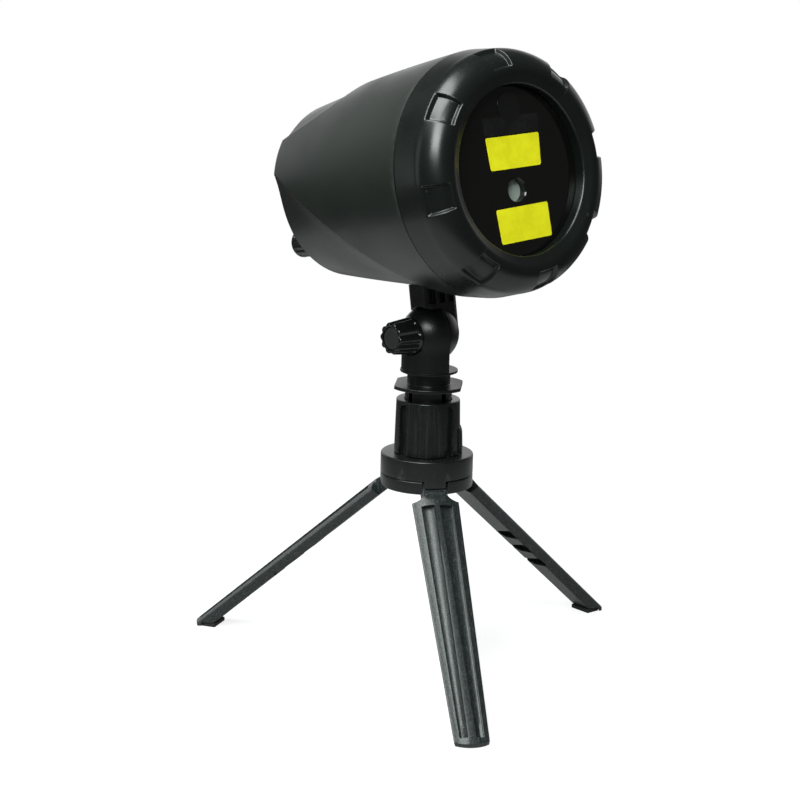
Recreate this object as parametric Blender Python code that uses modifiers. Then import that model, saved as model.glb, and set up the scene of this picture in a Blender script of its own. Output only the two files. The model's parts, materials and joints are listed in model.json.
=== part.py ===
"""Laser light projector on a small folding table tripod.

The barrel head holds two laser modules behind a notched front ring. It tilts on a split,
serrated knuckle that a fluted knob clamps, turns on a plug that stands in the tripod's
socket, and the tripod's three ribbed legs fold down under its hub.
"""
import bmesh
import bpy
from math import asin, cos, exp, pi, radians, sin, sqrt, tan
from mathutils import Matrix, Vector

# Clearances, in metres like every length here
FIT = 0.0003                 # between pieces that touch or slide
RUN = 0.0006                 # round the knuckle's ball
SHELL = 0.0025               # moulded wall
EDGE = 0.0006                # small chamfer on turned pieces

# Legs and hub
LEG_COUNT = 3
LEG_SLOPE = 41.35            # degrees below level when spread
LEG_LENGTH = 0.1454          # pin to toe, along the crown
LEG_WIDTH = 0.0225
LEG_TOE_WIDTH = 0.0173
LEG_SOLE_SHARE = 0.735       # width of the flat underside, as a part of the leg's width
LEG_CROWN = 0.0040           # crown above the pin
LEG_CROWN_RISE = 0.0035      # crown above the leg's side edges
LEG_DEPTH = 0.0075           # crown to underside
LEG_SHOULDER = 0.0133        # pin to shoulder
SHOULDER_FLARE = 0.0035
NECK_WIDTH = 0.0122
RIB_WIDTH = 0.0022
GROOVE_WIDTH = 0.0055
GROOVE_TOE_WIDTH = 0.0034
GROOVE_DEPTH = 0.0022
GROOVE_START = 0.0035        # beyond the shoulder
GROOVE_END = 0.0120          # short of the toe
POCKET_START = 0.0487        # pin to the first pocket
POCKET_PITCH = 0.0128
POCKET_SIDE = 0.0070
POCKET_DEPTH = 0.0030
PIN_RADIUS = 0.0015
PIN_CIRCLE = 0.0165          # pins' distance from the stem axis
PIN_DROP = 0.0133            # pins below the hub's top
PIN_LENGTH = 0.0220
HUB_RADIUS = 0.0231
HUB_UPPER_HEIGHT = 0.0099
HUB_LOWER_HEIGHT = 0.0062
TAB_WIDTH = 0.0106
TAB_DROP = 0.0034
SLOT_WIDTH = 0.0130
SLOT_ROOT = 0.0115           # slots' inner ends, from the stem axis
HUB_SCREW_CIRCLE = 0.0150
HUB_SCREW_TIP = 0.0035       # below the hub's top
PAD_THICKNESS = 0.0022
PAD_HEEL = 0.0149            # toe back to the pad's heel
PAD_TOE = 0.0019
PEG_RADIUS = 0.0018
PEG_HEIGHT = 0.0033
STAND_TURN = -0.8            # degrees, stand against the pan joint

# Socket column and the plug in it
SOCKET_HEIGHT = 0.0273
SOCKET_RADIUS = 0.0165
SOCKET_RIM_RADIUS = 0.0158
SOCKET_BORE = 0.0119
SOCKET_FLOOR = 0.0023
SOCKET_SLOT_WIDTH = 0.0045
SOCKET_SLOT_DEPTH = 0.0020
SOCKET_SLOT_TOP = 0.0035     # rim down to the slots' round tops
COLUMN_SPIGOT_RADIUS = 0.0080
COLUMN_SPIGOT_LENGTH = 0.0070
LATCH_HEIGHT = 0.0137
LATCH_WIDTH = 0.0080
LATCH_PROUD = 0.0011
FLANGE_LEVEL = 0.0332        # plug flange's underside above the hub
FLANGE_THICKNESS = 0.0017
FLANGE_RADIUS = 0.0190
FLANGE_FLAT = 0.0163
PLUG_BORE = 0.0080
PLUG_SLOT_WIDTH = 0.0026
PLUG_SLOT_TOP = 0.0015       # below the flange
PLUG_NECK_RADIUS = 0.0107
KNUCKLE_LEVEL = 0.0410       # knuckle's base above the hub
SPIGOT_RADIUS = 0.0050       # knuckle's spigot in the plug's neck
SWIVEL_SCREW_RADIUS = 0.0020
SWIVEL_SCREW_LENGTH = 0.0066
SWIVEL_HEAD_RADIUS = 0.0070
SWIVEL_HEAD_HEIGHT = 0.0024

# Knuckle, bracket and knob
PIVOT_LEVEL = 0.0600         # tilt axis above the hub
BALL_RADIUS = 0.0142
UPPER_BALL_RADIUS = 0.0144
PARTING = 0.0010             # parting face, from the stem axis towards the nut
UPRIGHT_RADIUS = 0.0136
BASE_RADIUS = 0.0143
BASE_THICKNESS = 0.0012
TEETH = 30
TOOTH_HEIGHT = 0.00065
TOOTH_INNER = 0.0070
TOOTH_OUTER = 0.0130
BOLT_RADIUS = 0.0029
SPOTFACE = 0.0117            # knob's seat, from the stem axis
KNOB_LENGTH = 0.0137
KNOB_BASE_RADIUS = 0.0093
KNOB_END_RADIUS = 0.0078
FLUTES = 10
FLUTE_DEPTH = 0.0012
FLUTE_START = 0.0030         # from the knob's base
CAP_RADIUS = 0.0054
CAP_RECESS = 0.0005
CAP_THICKNESS = 0.0012
BOLT_HEAD_RADIUS = 0.0046
BOLT_HEAD_HEIGHT = 0.0030
NUT_RADIUS = 0.0060
NUT_THICKNESS = 0.0040
NUT_SEAT = 0.0080            # nut pocket's floor, from the stem axis
NECK_RADIUS = 0.0105
NECK_TOP_RADIUS = 0.0120
NECK_FLARE_START = 0.0130    # above the pivot
NECK_FLARE_END = 0.0214
NECK_GROOVE_WIDTH = 0.0026
NECK_GROOVE_DEPTH = 0.0020
NECK_GROOVE_PITCH = 0.0055
BRACKET_SCREW_PITCH = 0.0100
BRACKET_SCREW_LENGTH = 0.0105
TILT = 10.0                  # degrees nose up

# Barrel: depths are measured back from the rim of the front recess
RIM_AHEAD = 0.0754           # recess rim ahead of the stem axis
JUNCTION = 0.0232
BARREL_END = 0.1300
BARREL_FRONT_RADIUS = 0.0585
BARREL_REAR_RADIUS = 0.0468
BARREL_BELLY = 0.0011
NECK_REACH = 0.02155         # pivot up to the barrel's mean radius
HEAD_RISE = NECK_REACH + (BARREL_FRONT_RADIUS + BARREL_REAR_RADIUS) / 2
MOUTH_WALL = 0.0032          # barrel's wall where the ring's skirt goes in
BARREL_BORE = BARREL_FRONT_RADIUS - MOUTH_WALL
BORE_DEPTH = 0.0100
REAR_EDGE = 0.0008
COLUMNS = 52
PETAL_LOW = 0.226            # sines of the angles at which the side petals start and end
PETAL_HIGH = 0.585
PETAL_END = 0.1280
TONGUE_TIP = 0.0860          # where the top crease starts
BELLY_TIP = 0.0360           # where the bottom crease starts
LOWER_DROP = 0.0034
LOWER_SIDE_DROP = 0.0019
LOWER_REACH = 0.0120
UPPER_DROP = 0.0027
UPPER_REACH = 0.0090
INNER_DEPTHS = (0.050, 0.082, 0.097, 0.112)    # more rings on the inside

# Front ring, panel and window
RECESS_RADIUS = 0.0395
CREST_AHEAD = 0.0025
CREST_RADIUS = 0.0455
ROUNDING_DEPTH = 0.0135
RING_TAPER = 0.0012          # the ring narrows by this towards its front
ROUNDING_RADIUS = BARREL_FRONT_RADIUS - RING_TAPER
NOTCHES = 8
NOTCH_FIRST = 10.8           # degrees
NOTCH_HALF_ANGLE = 8.0
NOTCH_DEPTH = 0.0022
NOTCH_TAIL = 0.0028          # behind the rounding
SKIRT_LENGTH = 0.0082
SKIRT_WALL = 0.0040
SKIRT_BORE = BARREL_BORE - FIT - SKIRT_WALL
SEAL_RADIUS = 0.0010
SEAL_SETBACK = 0.0032
PANEL_DEPTH = 0.0050
PANEL_THICKNESS = 0.0020
SHOULDER_RADIUS = 0.0355
SHOULDER_THICKNESS = 0.0026
BEAM_DROP = 0.0089
APERTURE_RADIUS = 0.0054
WINDOW_RADIUS = 0.0063
WINDOW_THICKNESS = 0.0012
WINDOW_SETBACK = 0.0040
BOSS_WALL = 0.0017
BOSS_LENGTH = 0.0036

# Rear wall fittings
INLET_INSET = 0.0223         # above the rear wall's lowest point
INLET_PLACE = (-0.0205, INLET_INSET - BARREL_REAR_RADIUS)
INLET_RADIUS = 0.0074
INLET_LENGTH = 0.0140
INLET_SHANK_RADIUS = 0.0046
INLET_SOCKET_RADIUS = 0.0029
INLET_PIN_RADIUS = 0.0010
INLET_GRIPS = 12
BUTTON_INSET = 0.0143
BUTTON_PLACE = (-0.0075, BUTTON_INSET - BARREL_REAR_RADIUS)
BUTTON_RING_RADIUS = 0.0062
BUTTON_RING_LENGTH = 0.0050
BUTTON_SHANK_RADIUS = 0.0042
BUTTON_CAP_RADIUS = 0.0040
BUTTON_PROUD = 0.0020
BUTTON_TRAVEL = 0.0012
BUTTON_STEM_RADIUS = 0.0020
SHANK_LENGTH = 0.0086
JAM_NUT_RADIUS = 0.0064
JAM_NUT_HEIGHT = 0.0022

# Optics and electronics inside the barrel: stations are ahead of the stem axis
PLATE_STATION = 0.0090
PLATE_THICKNESS = 0.0020
SHELF_LEVEL = 0.0200
SHELF_THICKNESS = 0.0020
SHELF_WIDTH = 0.0640
SHELF_END = 0.0520
BOARD_WIDTH = 0.0600
BOARD_LENGTH = 0.0370
BOARD_THICKNESS = 0.0016
BOARD_BLOCKS = (              # name, left, right, height, rear and front stations
    ("terminal_block", -0.024, -0.010, 0.0085, 0.018, 0.026),
    ("driver_chip", -0.004, 0.006, 0.0018, 0.026, 0.036),
    ("choke", 0.010, 0.020, 0.0060, 0.034, 0.044),
)
CAPACITOR_PLACES = ((-0.016, 0.032), (0.016, 0.028))
CAPACITOR_RADIUS = 0.0035
CAPACITOR_HEIGHT = 0.0110
STANDOFF_RADIUS = 0.0030
STANDOFF_HEIGHT = 0.0017
STANDOFF_SPREAD = 0.0480
SMALL_SCREW_RADIUS = 0.0010
SCREW_RADIUS = 0.0015
SCREW_HEAD_RADIUS = 0.0027
SCREW_HEAD_HEIGHT = 0.0020
BLOCK_WIDTH = 0.0280
BLOCK_TOP = -0.0015
BLOCK_BOTTOM = -0.0220
BLOCK_END = 0.0400
BLOCK_SCREW_PLACE = (0.0105, -0.0185)
FIN_START = 0.0060
FIN_PITCH = 0.0080
FIN_GAP = 0.0020
FIN_DEPTH = 0.0035
LASER_RADIUS = 0.0060
LASER_LENGTH = 0.0300
LASER_SETBACK = 0.0013       # from the block's back to the bore's end
RED_STATION = 0.0480
RED_INNER_END = 0.0100
ARM_END = 0.0430
ARM_WALL = 0.0017
COMBINER_SIDE = 0.0100
COMBINER_THICKNESS = 0.0010
MOTOR_LEVEL = 0.0071
MOTOR_RADIUS = 0.0080
MOTOR_LENGTH = 0.0240
MOTOR_FRONT = 0.0540
SHAFT_RADIUS = 0.0010
SHAFT_REACH = 0.0060         # into the motor
GRATING_RADIUS = 0.0210
GRATING_STATION = 0.0580
GRATING_THICKNESS = 0.0008
GRATING_HUB_RADIUS = 0.0030
STRAP_THICKNESS = 0.0010
STRAP_WIDTH = 0.0040
STRAP_FOOT = 0.0045
CRADLE_LENGTH = 0.0080
CRADLE_TOP = 0.0040
CRADLE_WIDTH = 0.0260

for old in list(bpy.data.objects):
    bpy.data.objects.remove(old)

PARTS = bpy.data.collections.new("laser_light_projector")
CUTTERS = bpy.data.collections.new("cutters")
for new_collection in (PARTS, CUTTERS):
    bpy.context.scene.collection.children.link(new_collection)


def finish(name, colour, roughness, metallic=0.0):
    """A Principled material."""
    made = bpy.data.materials.new(name)
    made.use_nodes = True
    shader = made.node_tree.nodes["Principled BSDF"]
    shader.inputs["Base Color"].default_value = (*colour, 1.0)
    shader.inputs["Roughness"].default_value = roughness
    shader.inputs["Metallic"].default_value = metallic
    made.diffuse_color = (*colour, 1.0)
    return made


BARREL_BLACK = finish("barrel_black", (0.030, 0.032, 0.033), 0.42)
RING_BLACK = finish("ring_black", (0.024, 0.025, 0.026), 0.38)
GLOSS_BLACK = finish("gloss_black", (0.012, 0.012, 0.013), 0.08)
KNUCKLE_BLACK = finish("knuckle_black", (0.022, 0.023, 0.024), 0.36)
STAND_BLACK = finish("stand_black", (0.035, 0.039, 0.039), 0.50)
RUBBER = finish("rubber", (0.018, 0.018, 0.018), 0.75)
WINDOW_GLASS = finish("window_glass", (0.55, 0.57, 0.57), 0.05)
STEEL = finish("steel", (0.48, 0.48, 0.47), 0.32, 1.0)
BRASS = finish("brass", (0.72, 0.55, 0.27), 0.30, 1.0)
ALUMINIUM = finish("aluminium", (0.62, 0.63, 0.64), 0.40, 1.0)
BOARD_GREEN = finish("board_green", (0.05, 0.22, 0.09), 0.50)
OPTIC = finish("optic", (0.60, 0.45, 0.62), 0.05)


def frame(name, parent, at=(0, 0, 0), turn=(0, 0, 0)):
    """An empty that carries pieces; turn is in radians."""
    empty = bpy.data.objects.new(name, None)
    empty.parent = parent
    empty.location = at
    empty.rotation_euler = turn
    PARTS.objects.link(empty)
    return empty


def piece(name, shape, parent, look=None, at=(0, 0, 0), turn=(0, 0, 0)):
    """An object from a bmesh; without a look it's a tool that cuts or joins."""
    mesh = bpy.data.meshes.new(name)
    shape.to_mesh(mesh)
    shape.free()
    made = bpy.data.objects.new(name, mesh)
    made.parent = parent
    made.location = at
    made.rotation_euler = turn
    if look is None:
        CUTTERS.objects.link(made)
        made.hide_render = True
        made.display_type = "WIRE"
    else:
        PARTS.objects.link(made)
        mesh.materials.append(look)
    return made


def boolean(target, tool, operation):
    """Add one Boolean step to the target."""
    step = target.modifiers.new(tool.name, "BOOLEAN")
    step.object = tool
    step.operation = operation
    step.solver = "EXACT"


def cut(target, tool):
    boolean(target, tool, "DIFFERENCE")


def join(target, tool):
    boolean(target, tool, "UNION")


def soften(target, width, segments=1, angle=50.0):
    """Bevel the edges that are sharper than the angle."""
    bevel = target.modifiers.new("soften", "BEVEL")
    bevel.width = width
    bevel.segments = segments
    bevel.limit_method = "ANGLE"
    bevel.angle_limit = radians(angle)


def box(low, high):
    """A box between two corners."""
    shape = bmesh.new()
    low = Vector(low)
    high = Vector(high)
    place = Matrix.Translation((low + high) / 2) @ Matrix.Diagonal((*(high - low), 1))
    bmesh.ops.create_cube(shape, size=1, matrix=place)
    return shape


STANDING = {
    "X": Matrix.Rotation(pi / 2, 4, "Y"),
    "Y": Matrix.Rotation(-pi / 2, 4, "X"),
    "Z": Matrix.Identity(4),
}


def rod(radius, low, high, axis="Z", across=(0, 0), sides=24, start=0.0):
    """A cylinder or prism along an axis; across is its place along the other two."""
    shape = bmesh.new()
    middle = list(across)
    middle.insert("XYZ".index(axis), (low + high) / 2)
    place = Matrix.Translation(middle) @ STANDING[axis] @ Matrix.Rotation(start, 4, "Z")
    bmesh.ops.create_cone(shape, cap_ends=True, segments=sides, radius1=radius,
                          radius2=radius, depth=high - low, matrix=place)
    return shape


def ball(radius):
    """A sphere whose poles lie on X."""
    shape = bmesh.new()
    bmesh.ops.create_uvsphere(shape, u_segments=28, v_segments=14, radius=radius,
                              matrix=STANDING["X"])
    return shape


def prism(outline, low, high):
    """A flat outline, given as points in X and Y, extruded along Z."""
    shape = bmesh.new()
    face = shape.faces.new([shape.verts.new((x, y, low)) for x, y in outline])
    grown = bmesh.ops.extrude_face_region(shape, geom=[face])
    raised = [item for item in grown["geom"] if isinstance(item, bmesh.types.BMVert)]
    bmesh.ops.translate(shape, verts=raised, vec=(0, 0, high - low))
    bmesh.ops.recalc_face_normals(shape, faces=shape.faces)
    return shape


def arc(radius, start, end, steps, centre=(0, 0)):
    """Points along an arc; angles in radians."""
    angles = [start + (end - start) * step / steps for step in range(steps + 1)]
    return [(centre[0] + radius * cos(a), centre[1] + radius * sin(a)) for a in angles]


def turned(name, points, parent, look=None, closed=False, steps=36, at=(0, 0, 0), turn=(0, 0, 0)):
    """A profile of radius and height, turned round Z by a Screw modifier."""
    shape = bmesh.new()
    corners = [shape.verts.new((radius, 0, height)) for radius, height in points]
    for start, end in zip(corners, corners[1:]):
        shape.edges.new((start, end))
    if closed:
        shape.edges.new((corners[-1], corners[0]))
    made = piece(name, shape, parent, look, at, turn)
    screw = made.modifiers.new("turn", "SCREW")
    screw.steps = steps
    screw.render_steps = steps
    screw.use_merge_vertices = True
    screw.merge_threshold = 0.00001
    return made


def loft(rings, closed=False):
    """A skin over rings of points; its ends are capped, or joined when closed."""
    shape = bmesh.new()
    rows = [[shape.verts.new(point) for point in ring] for ring in rings]
    pairs = list(zip(rows, rows[1:]))
    if closed:
        pairs.append((rows[-1], rows[0]))
    else:
        shape.faces.new(rows[0])
        shape.faces.new(rows[-1])
    for lower, upper in pairs:
        for here in range(len(lower)):
            beside = (here + 1) % len(lower)
            shape.faces.new((lower[here], lower[beside], upper[beside], upper[here]))
    bmesh.ops.recalc_face_normals(shape, faces=shape.faces)
    return shape


def screw_piece(name, parent, length, at, turn=(0, 0, 0), head_radius=SCREW_HEAD_RADIUS,
                head_height=SCREW_HEAD_HEIGHT, radius=SCREW_RADIUS):
    """A pan-head screw: head above Z = 0, shank below it."""
    points = [(0, head_height), (head_radius * 0.75, head_height),
              (head_radius, head_height * 0.6), (head_radius, 0), (radius, 0),
              (radius, -length), (0, -length)]
    return turned(name, points, parent, STEEL, steps=12, at=at, turn=turn)


# Levels and places that follow from the driving dimensions
SLOPE = radians(LEG_SLOPE)
HUB_TOP = PIN_DROP - LEG_CROWN * cos(SLOPE) + LEG_LENGTH * sin(SLOPE)
HUB_UPPER_BASE = -HUB_UPPER_HEIGHT
HUB_LOWER_TOP = HUB_UPPER_BASE - FIT
HUB_BOTTOM = HUB_LOWER_TOP - HUB_LOWER_HEIGHT
PLUG_SHELF = FLANGE_LEVEL + FLANGE_THICKNESS
BARREL_BACK = RIM_AHEAD - BARREL_END
LEG_ANGLES = [2 * pi * number / LEG_COUNT for number in range(LEG_COUNT)]
QUARTERS = [pi / 2 * number for number in range(4)]

projector = frame("projector", None)
stand = frame("stand", projector, (0, 0, HUB_TOP), (0, 0, radians(STAND_TURN)))
pan_axis = frame("pan_axis", projector, (0, 0, HUB_TOP))
tilt_axis = frame("tilt_axis", pan_axis, (0, 0, PIVOT_LEVEL), (radians(-TILT), 0, 0))
head = frame("head", tilt_axis, (0, 0, HEAD_RISE), (pi / 2, 0, 0))
clamp_axis = frame("clamp_axis", pan_axis, (0, 0, PIVOT_LEVEL), (0, -pi / 2, 0))
grating_axis = frame("grating_axis", head, (0, MOTOR_LEVEL, 0))
inlet_axis = frame("inlet_axis", head, (*INLET_PLACE, BARREL_BACK))
button_axis = frame("button_axis", head, (*BUTTON_PLACE, BARREL_BACK))


def spokes(name, width, inner, outer, low, high, angles):
    """Radial bars round the stem axis, in one mesh to cut with."""
    shape = bmesh.new()
    middle = Vector(((inner + outer) / 2, 0, (low + high) / 2))
    size = Matrix.Diagonal((outer - inner, width, high - low, 1))
    for angle in angles:
        place = Matrix.Rotation(angle, 4, "Z") @ Matrix.Translation(middle) @ size
        bmesh.ops.create_cube(shape, size=1, matrix=place)
    return piece(name, shape, stand)


def build_hub():
    """Two hub rings, screwed together round the leg pins."""
    boss = LEG_CROWN + FIT
    bore = COLUMN_SPIGOT_RADIUS + FIT
    far = 2 * HUB_RADIUS
    skirt = PIN_CIRCLE + boss + FIT / 2
    tab_base = HUB_UPPER_BASE - TAB_DROP
    upper = turned("hub_upper", [
        (bore, 0), (HUB_RADIUS - EDGE, 0), (HUB_RADIUS, -EDGE), (HUB_RADIUS, tab_base),
        (skirt, tab_base), (skirt, HUB_UPPER_BASE), (bore, HUB_UPPER_BASE)],
        stand, STAND_BLACK, closed=True, steps=48)
    half_turn = pi / LEG_COUNT
    meet = TAB_WIDTH / 2 / sin(half_turn)
    gap = [(meet * cos(half_turn), meet * sin(half_turn)), (far, TAB_WIDTH / 2),
           (2 * far * cos(half_turn), 2 * far * sin(half_turn)),
           (far * cos(2 * half_turn) + TAB_WIDTH / 2 * sin(2 * half_turn),
            far * sin(2 * half_turn) - TAB_WIDTH / 2 * cos(2 * half_turn))]
    for number, angle in enumerate(LEG_ANGLES, 1):
        cut(upper, piece(f"tab_gap_{number}", prism(gap, 2 * tab_base, HUB_UPPER_BASE), stand,
                         turn=(0, 0, angle)))
    lower = turned("hub_lower", [
        (0, HUB_LOWER_TOP), (HUB_RADIUS, HUB_LOWER_TOP), (HUB_RADIUS, HUB_BOTTOM + EDGE),
        (HUB_RADIUS - EDGE, HUB_BOTTOM), (0, HUB_BOTTOM)], stand, STAND_BLACK, steps=48)
    cut(lower, spokes("leg_slots", SLOT_WIDTH, SLOT_ROOT, far, 3 * HUB_BOTTOM, 0, LEG_ANGLES))
    groove = PIN_RADIUS + FIT
    half = PIN_LENGTH / 2
    seat = HUB_BOTTOM + SCREW_HEAD_HEIGHT + FIT
    for number, angle in enumerate(LEG_ANGLES, 1):
        pin = {"at": (PIN_CIRCLE * cos(angle), PIN_CIRCLE * sin(angle), -PIN_DROP),
               "turn": (0, 0, angle)}
        cut(upper, piece(f"boss_room_{number}", rod(
            boss, -SLOT_WIDTH / 2, SLOT_WIDTH / 2, "Y", sides=16), stand, **pin))
        cut(upper, piece(f"leg_stop_{number}", box(
            (0, -SLOT_WIDTH / 2, 0), (LEG_SHOULDER, SLOT_WIDTH / 2, LEG_CROWN - EDGE + FIT)),
            stand, at=pin["at"], turn=(0, SLOPE, angle)))
        trough = [(groove, PIN_DROP), (-groove, PIN_DROP)] + arc(groove, pi, 2 * pi, 6)
        cut(lower, piece(f"pin_groove_{number}", prism(trough, -half - FIT, half + FIT), stand,
                         at=pin["at"], turn=(pi / 2, 0, angle)))
        piece(f"leg_pin_{number}", rod(PIN_RADIUS, -half, half, "Y", sides=12), stand, STEEL,
              **pin)
        between = angle + pi / LEG_COUNT
        spot = (HUB_SCREW_CIRCLE * cos(between), HUB_SCREW_CIRCLE * sin(between), 0)
        cut(lower, piece(f"hub_counterbore_{number}", rod(
            SCREW_HEAD_RADIUS + FIT, 2 * HUB_BOTTOM, seat), stand, at=spot))
        bore_tool = piece(f"hub_screw_bore_{number}", rod(
            SCREW_RADIUS + FIT, 2 * HUB_BOTTOM, FIT - HUB_SCREW_TIP, sides=12), stand, at=spot)
        cut(lower, bore_tool)
        cut(upper, bore_tool)
        screw_piece(f"hub_screw_{number}", stand, -HUB_SCREW_TIP - seat + FIT,
                    (spot[0], spot[1], seat - FIT), (pi, 0, 0))


def build_socket():
    """The column on the hub, with its four slots and its latch tongue."""
    column = turned("socket_column", [
        (0, SOCKET_FLOOR), (SOCKET_BORE, SOCKET_FLOOR), (SOCKET_BORE, SOCKET_HEIGHT),
        (SOCKET_RIM_RADIUS - EDGE, SOCKET_HEIGHT), (SOCKET_RIM_RADIUS, SOCKET_HEIGHT - EDGE),
        (SOCKET_RADIUS, FIT), (COLUMN_SPIGOT_RADIUS, FIT),
        (COLUMN_SPIGOT_RADIUS, -COLUMN_SPIGOT_LENGTH), (0, -COLUMN_SPIGOT_LENGTH)],
        stand, STAND_BLACK, steps=48)
    half = SOCKET_SLOT_WIDTH / 2
    crown = SOCKET_HEIGHT - SOCKET_SLOT_TOP - half
    outline = [(-half, -FIT), (half, -FIT)] + arc(half, 0, pi, 6, (0, crown))
    for number, angle in enumerate(QUARTERS, 1):
        slot = prism(outline, SOCKET_RIM_RADIUS - SOCKET_SLOT_DEPTH, 2 * SOCKET_RADIUS)
        cut(column, piece(f"socket_slot_{number}", slot, stand, turn=(pi / 2, 0, angle)))
    inside = (SOCKET_BORE + SOCKET_RIM_RADIUS) / 2
    tongue = prism([(inside, FIT), (SOCKET_RADIUS + LATCH_PROUD, FIT),
                    (SOCKET_RADIUS + LATCH_PROUD * 0.6, LATCH_HEIGHT * 0.75),
                    (SOCKET_RIM_RADIUS + LATCH_PROUD * 0.3, LATCH_HEIGHT),
                    (inside, LATCH_HEIGHT)], -LATCH_WIDTH / 2, LATCH_WIDTH / 2)
    join(column, piece("latch_tongue", tongue, stand, turn=(pi / 2, 0, -pi / 4)))


def build_plug():
    """The slotted plug that stands in the socket, with its flange and neck."""
    neck_top = KNUCKLE_LEVEL - FIT
    body = SOCKET_BORE - FIT
    foot = SOCKET_FLOOR + FIT
    bore = SPIGOT_RADIUS + FIT
    plug = turned("stem_plug", [
        (bore, neck_top), (PLUG_NECK_RADIUS, neck_top), (PLUG_NECK_RADIUS, PLUG_SHELF),
        (FLANGE_RADIUS, PLUG_SHELF), (FLANGE_RADIUS, FLANGE_LEVEL), (body, FLANGE_LEVEL),
        (body, foot + EDGE), (body - EDGE, foot), (PLUG_BORE, foot), (PLUG_BORE, PLUG_SHELF),
        (bore, PLUG_SHELF)], stand, KNUCKLE_BLACK, closed=True)
    for number, angle in enumerate((3 * pi / 4, -pi / 4), 1):
        flat = box((FLANGE_FLAT, -FLANGE_RADIUS, FLANGE_LEVEL / 2),
                   (2 * FLANGE_RADIUS, FLANGE_RADIUS, neck_top))
        cut(plug, piece(f"flange_flat_{number}", flat, stand, turn=(0, 0, angle)))
    cut(plug, spokes("plug_slots", PLUG_SLOT_WIDTH, PLUG_BORE * 0.8, FLANGE_RADIUS, -foot,
                     FLANGE_LEVEL - PLUG_SLOT_TOP, QUARTERS))


def leg_section(station, width):
    """One section across a leg: a low crown, sloping sides and a flat underside."""
    half = width / 2
    rise = LEG_CROWN_RISE * width / LEG_WIDTH
    radius = (half * half + rise * rise) / (2 * rise)
    reach = asin(half / radius)
    crown = arc(radius, pi / 2 - reach, pi / 2 + reach, 6, (0, LEG_CROWN - radius))
    sole = half * LEG_SOLE_SHARE
    bottom = LEG_CROWN - LEG_DEPTH
    return [(station, across, level) for across, level in
            crown + [(-sole, bottom), (sole, bottom)]]


def build_leg(number, angle):
    """A leg with its neck, boss, grooves and underside pockets, and its foot pad."""
    pin = (PIN_CIRCLE * cos(angle), PIN_CIRCLE * sin(angle), -PIN_DROP)
    hinge = frame(f"leg_{number}_hinge", stand, pin, (0, SLOPE, angle))
    foot = frame(f"foot_{number}", hinge, (LEG_LENGTH, 0, LEG_CROWN), (0, -SLOPE, 0))
    bottom = LEG_CROWN - LEG_DEPTH
    leg = piece(f"leg_{number}", loft([leg_section(LEG_SHOULDER, LEG_WIDTH),
                                      leg_section(LEG_LENGTH + LEG_DEPTH, LEG_TOE_WIDTH)]),
                hinge, STAND_BLACK)
    half = NECK_WIDTH / 2
    root = LEG_SHOULDER + EDGE
    neck = prism([(0, -half), (LEG_SHOULDER - SHOULDER_FLARE, -half),
                  (root, -half - SHOULDER_FLARE), (root, half + SHOULDER_FLARE),
                  (LEG_SHOULDER - SHOULDER_FLARE, half), (0, half)], bottom,
                 LEG_CROWN - EDGE)
    join(leg, piece(f"leg_{number}_neck", neck, hinge))
    join(leg, piece(f"leg_{number}_boss", rod(LEG_CROWN, -half, half, "Y", sides=20), hinge))
    cut(leg, piece(f"leg_{number}_pin_hole", rod(
        PIN_RADIUS + FIT, -LEG_WIDTH, LEG_WIDTH, "Y", sides=12), hinge))
    first = LEG_SHOULDER + GROOVE_START
    last = LEG_LENGTH - GROOVE_END
    rib = RIB_WIDTH / 2
    for side in (-1, 1):
        groove = prism([(first, side * rib), (last, side * rib),
                        (last, side * (rib + GROOVE_TOE_WIDTH)),
                        (first, side * (rib + GROOVE_WIDTH))],
                       LEG_CROWN - GROOVE_DEPTH, 2 * LEG_CROWN)
        cut(leg, piece(f"leg_{number}_groove_{side}", groove, hinge))
    for place in range(3):
        start = POCKET_START + POCKET_PITCH * place
        pocket = prism([(start, -POCKET_SIDE * 0.2), (start + POCKET_SIDE * 1.4,
                                                      -POCKET_SIDE * 0.2),
                        (start + POCKET_SIDE * 0.5, POCKET_SIDE * 0.9)],
                       2 * bottom, bottom + POCKET_DEPTH)
        cut(leg, piece(f"leg_{number}_pocket_{place + 1}", pocket, hinge))
    cut(leg, piece(f"leg_{number}_sole_cut", box(
        (-LEG_LENGTH / 3, -LEG_WIDTH, -LEG_LENGTH),
        (LEG_LENGTH / 3, LEG_WIDTH, PAD_THICKNESS + FIT)), foot))
    peg = -PAD_HEEL * 0.58
    peg_top = PAD_THICKNESS + PEG_HEIGHT
    cut(leg, piece(f"leg_{number}_peg_hole", rod(
        PEG_RADIUS + FIT, 0, peg_top + FIT, across=(peg, 0), sides=12), foot))
    middle = PAD_HEEL * 0.54
    heel = LEG_TOE_WIDTH * LEG_SOLE_SHARE / 2
    nose = [(-middle + (middle - PAD_TOE) * along, across) for along, across in
            [(cos(a), LEG_TOE_WIDTH * 0.48 * sin(a)) for a in
             [radians(-90 + 22.5 * step) for step in range(9)]]]
    pad = piece(f"foot_pad_{number}", prism(
        nose + [(-PAD_HEEL, heel), (-PAD_HEEL, -heel)], 0, PAD_THICKNESS), foot, RUBBER)
    soften(pad, PAD_THICKNESS / 4)
    join(pad, piece(f"pad_{number}_peg", rod(
        PEG_RADIUS, PAD_THICKNESS / 2, peg_top, across=(peg, 0), sides=12), foot))


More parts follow.
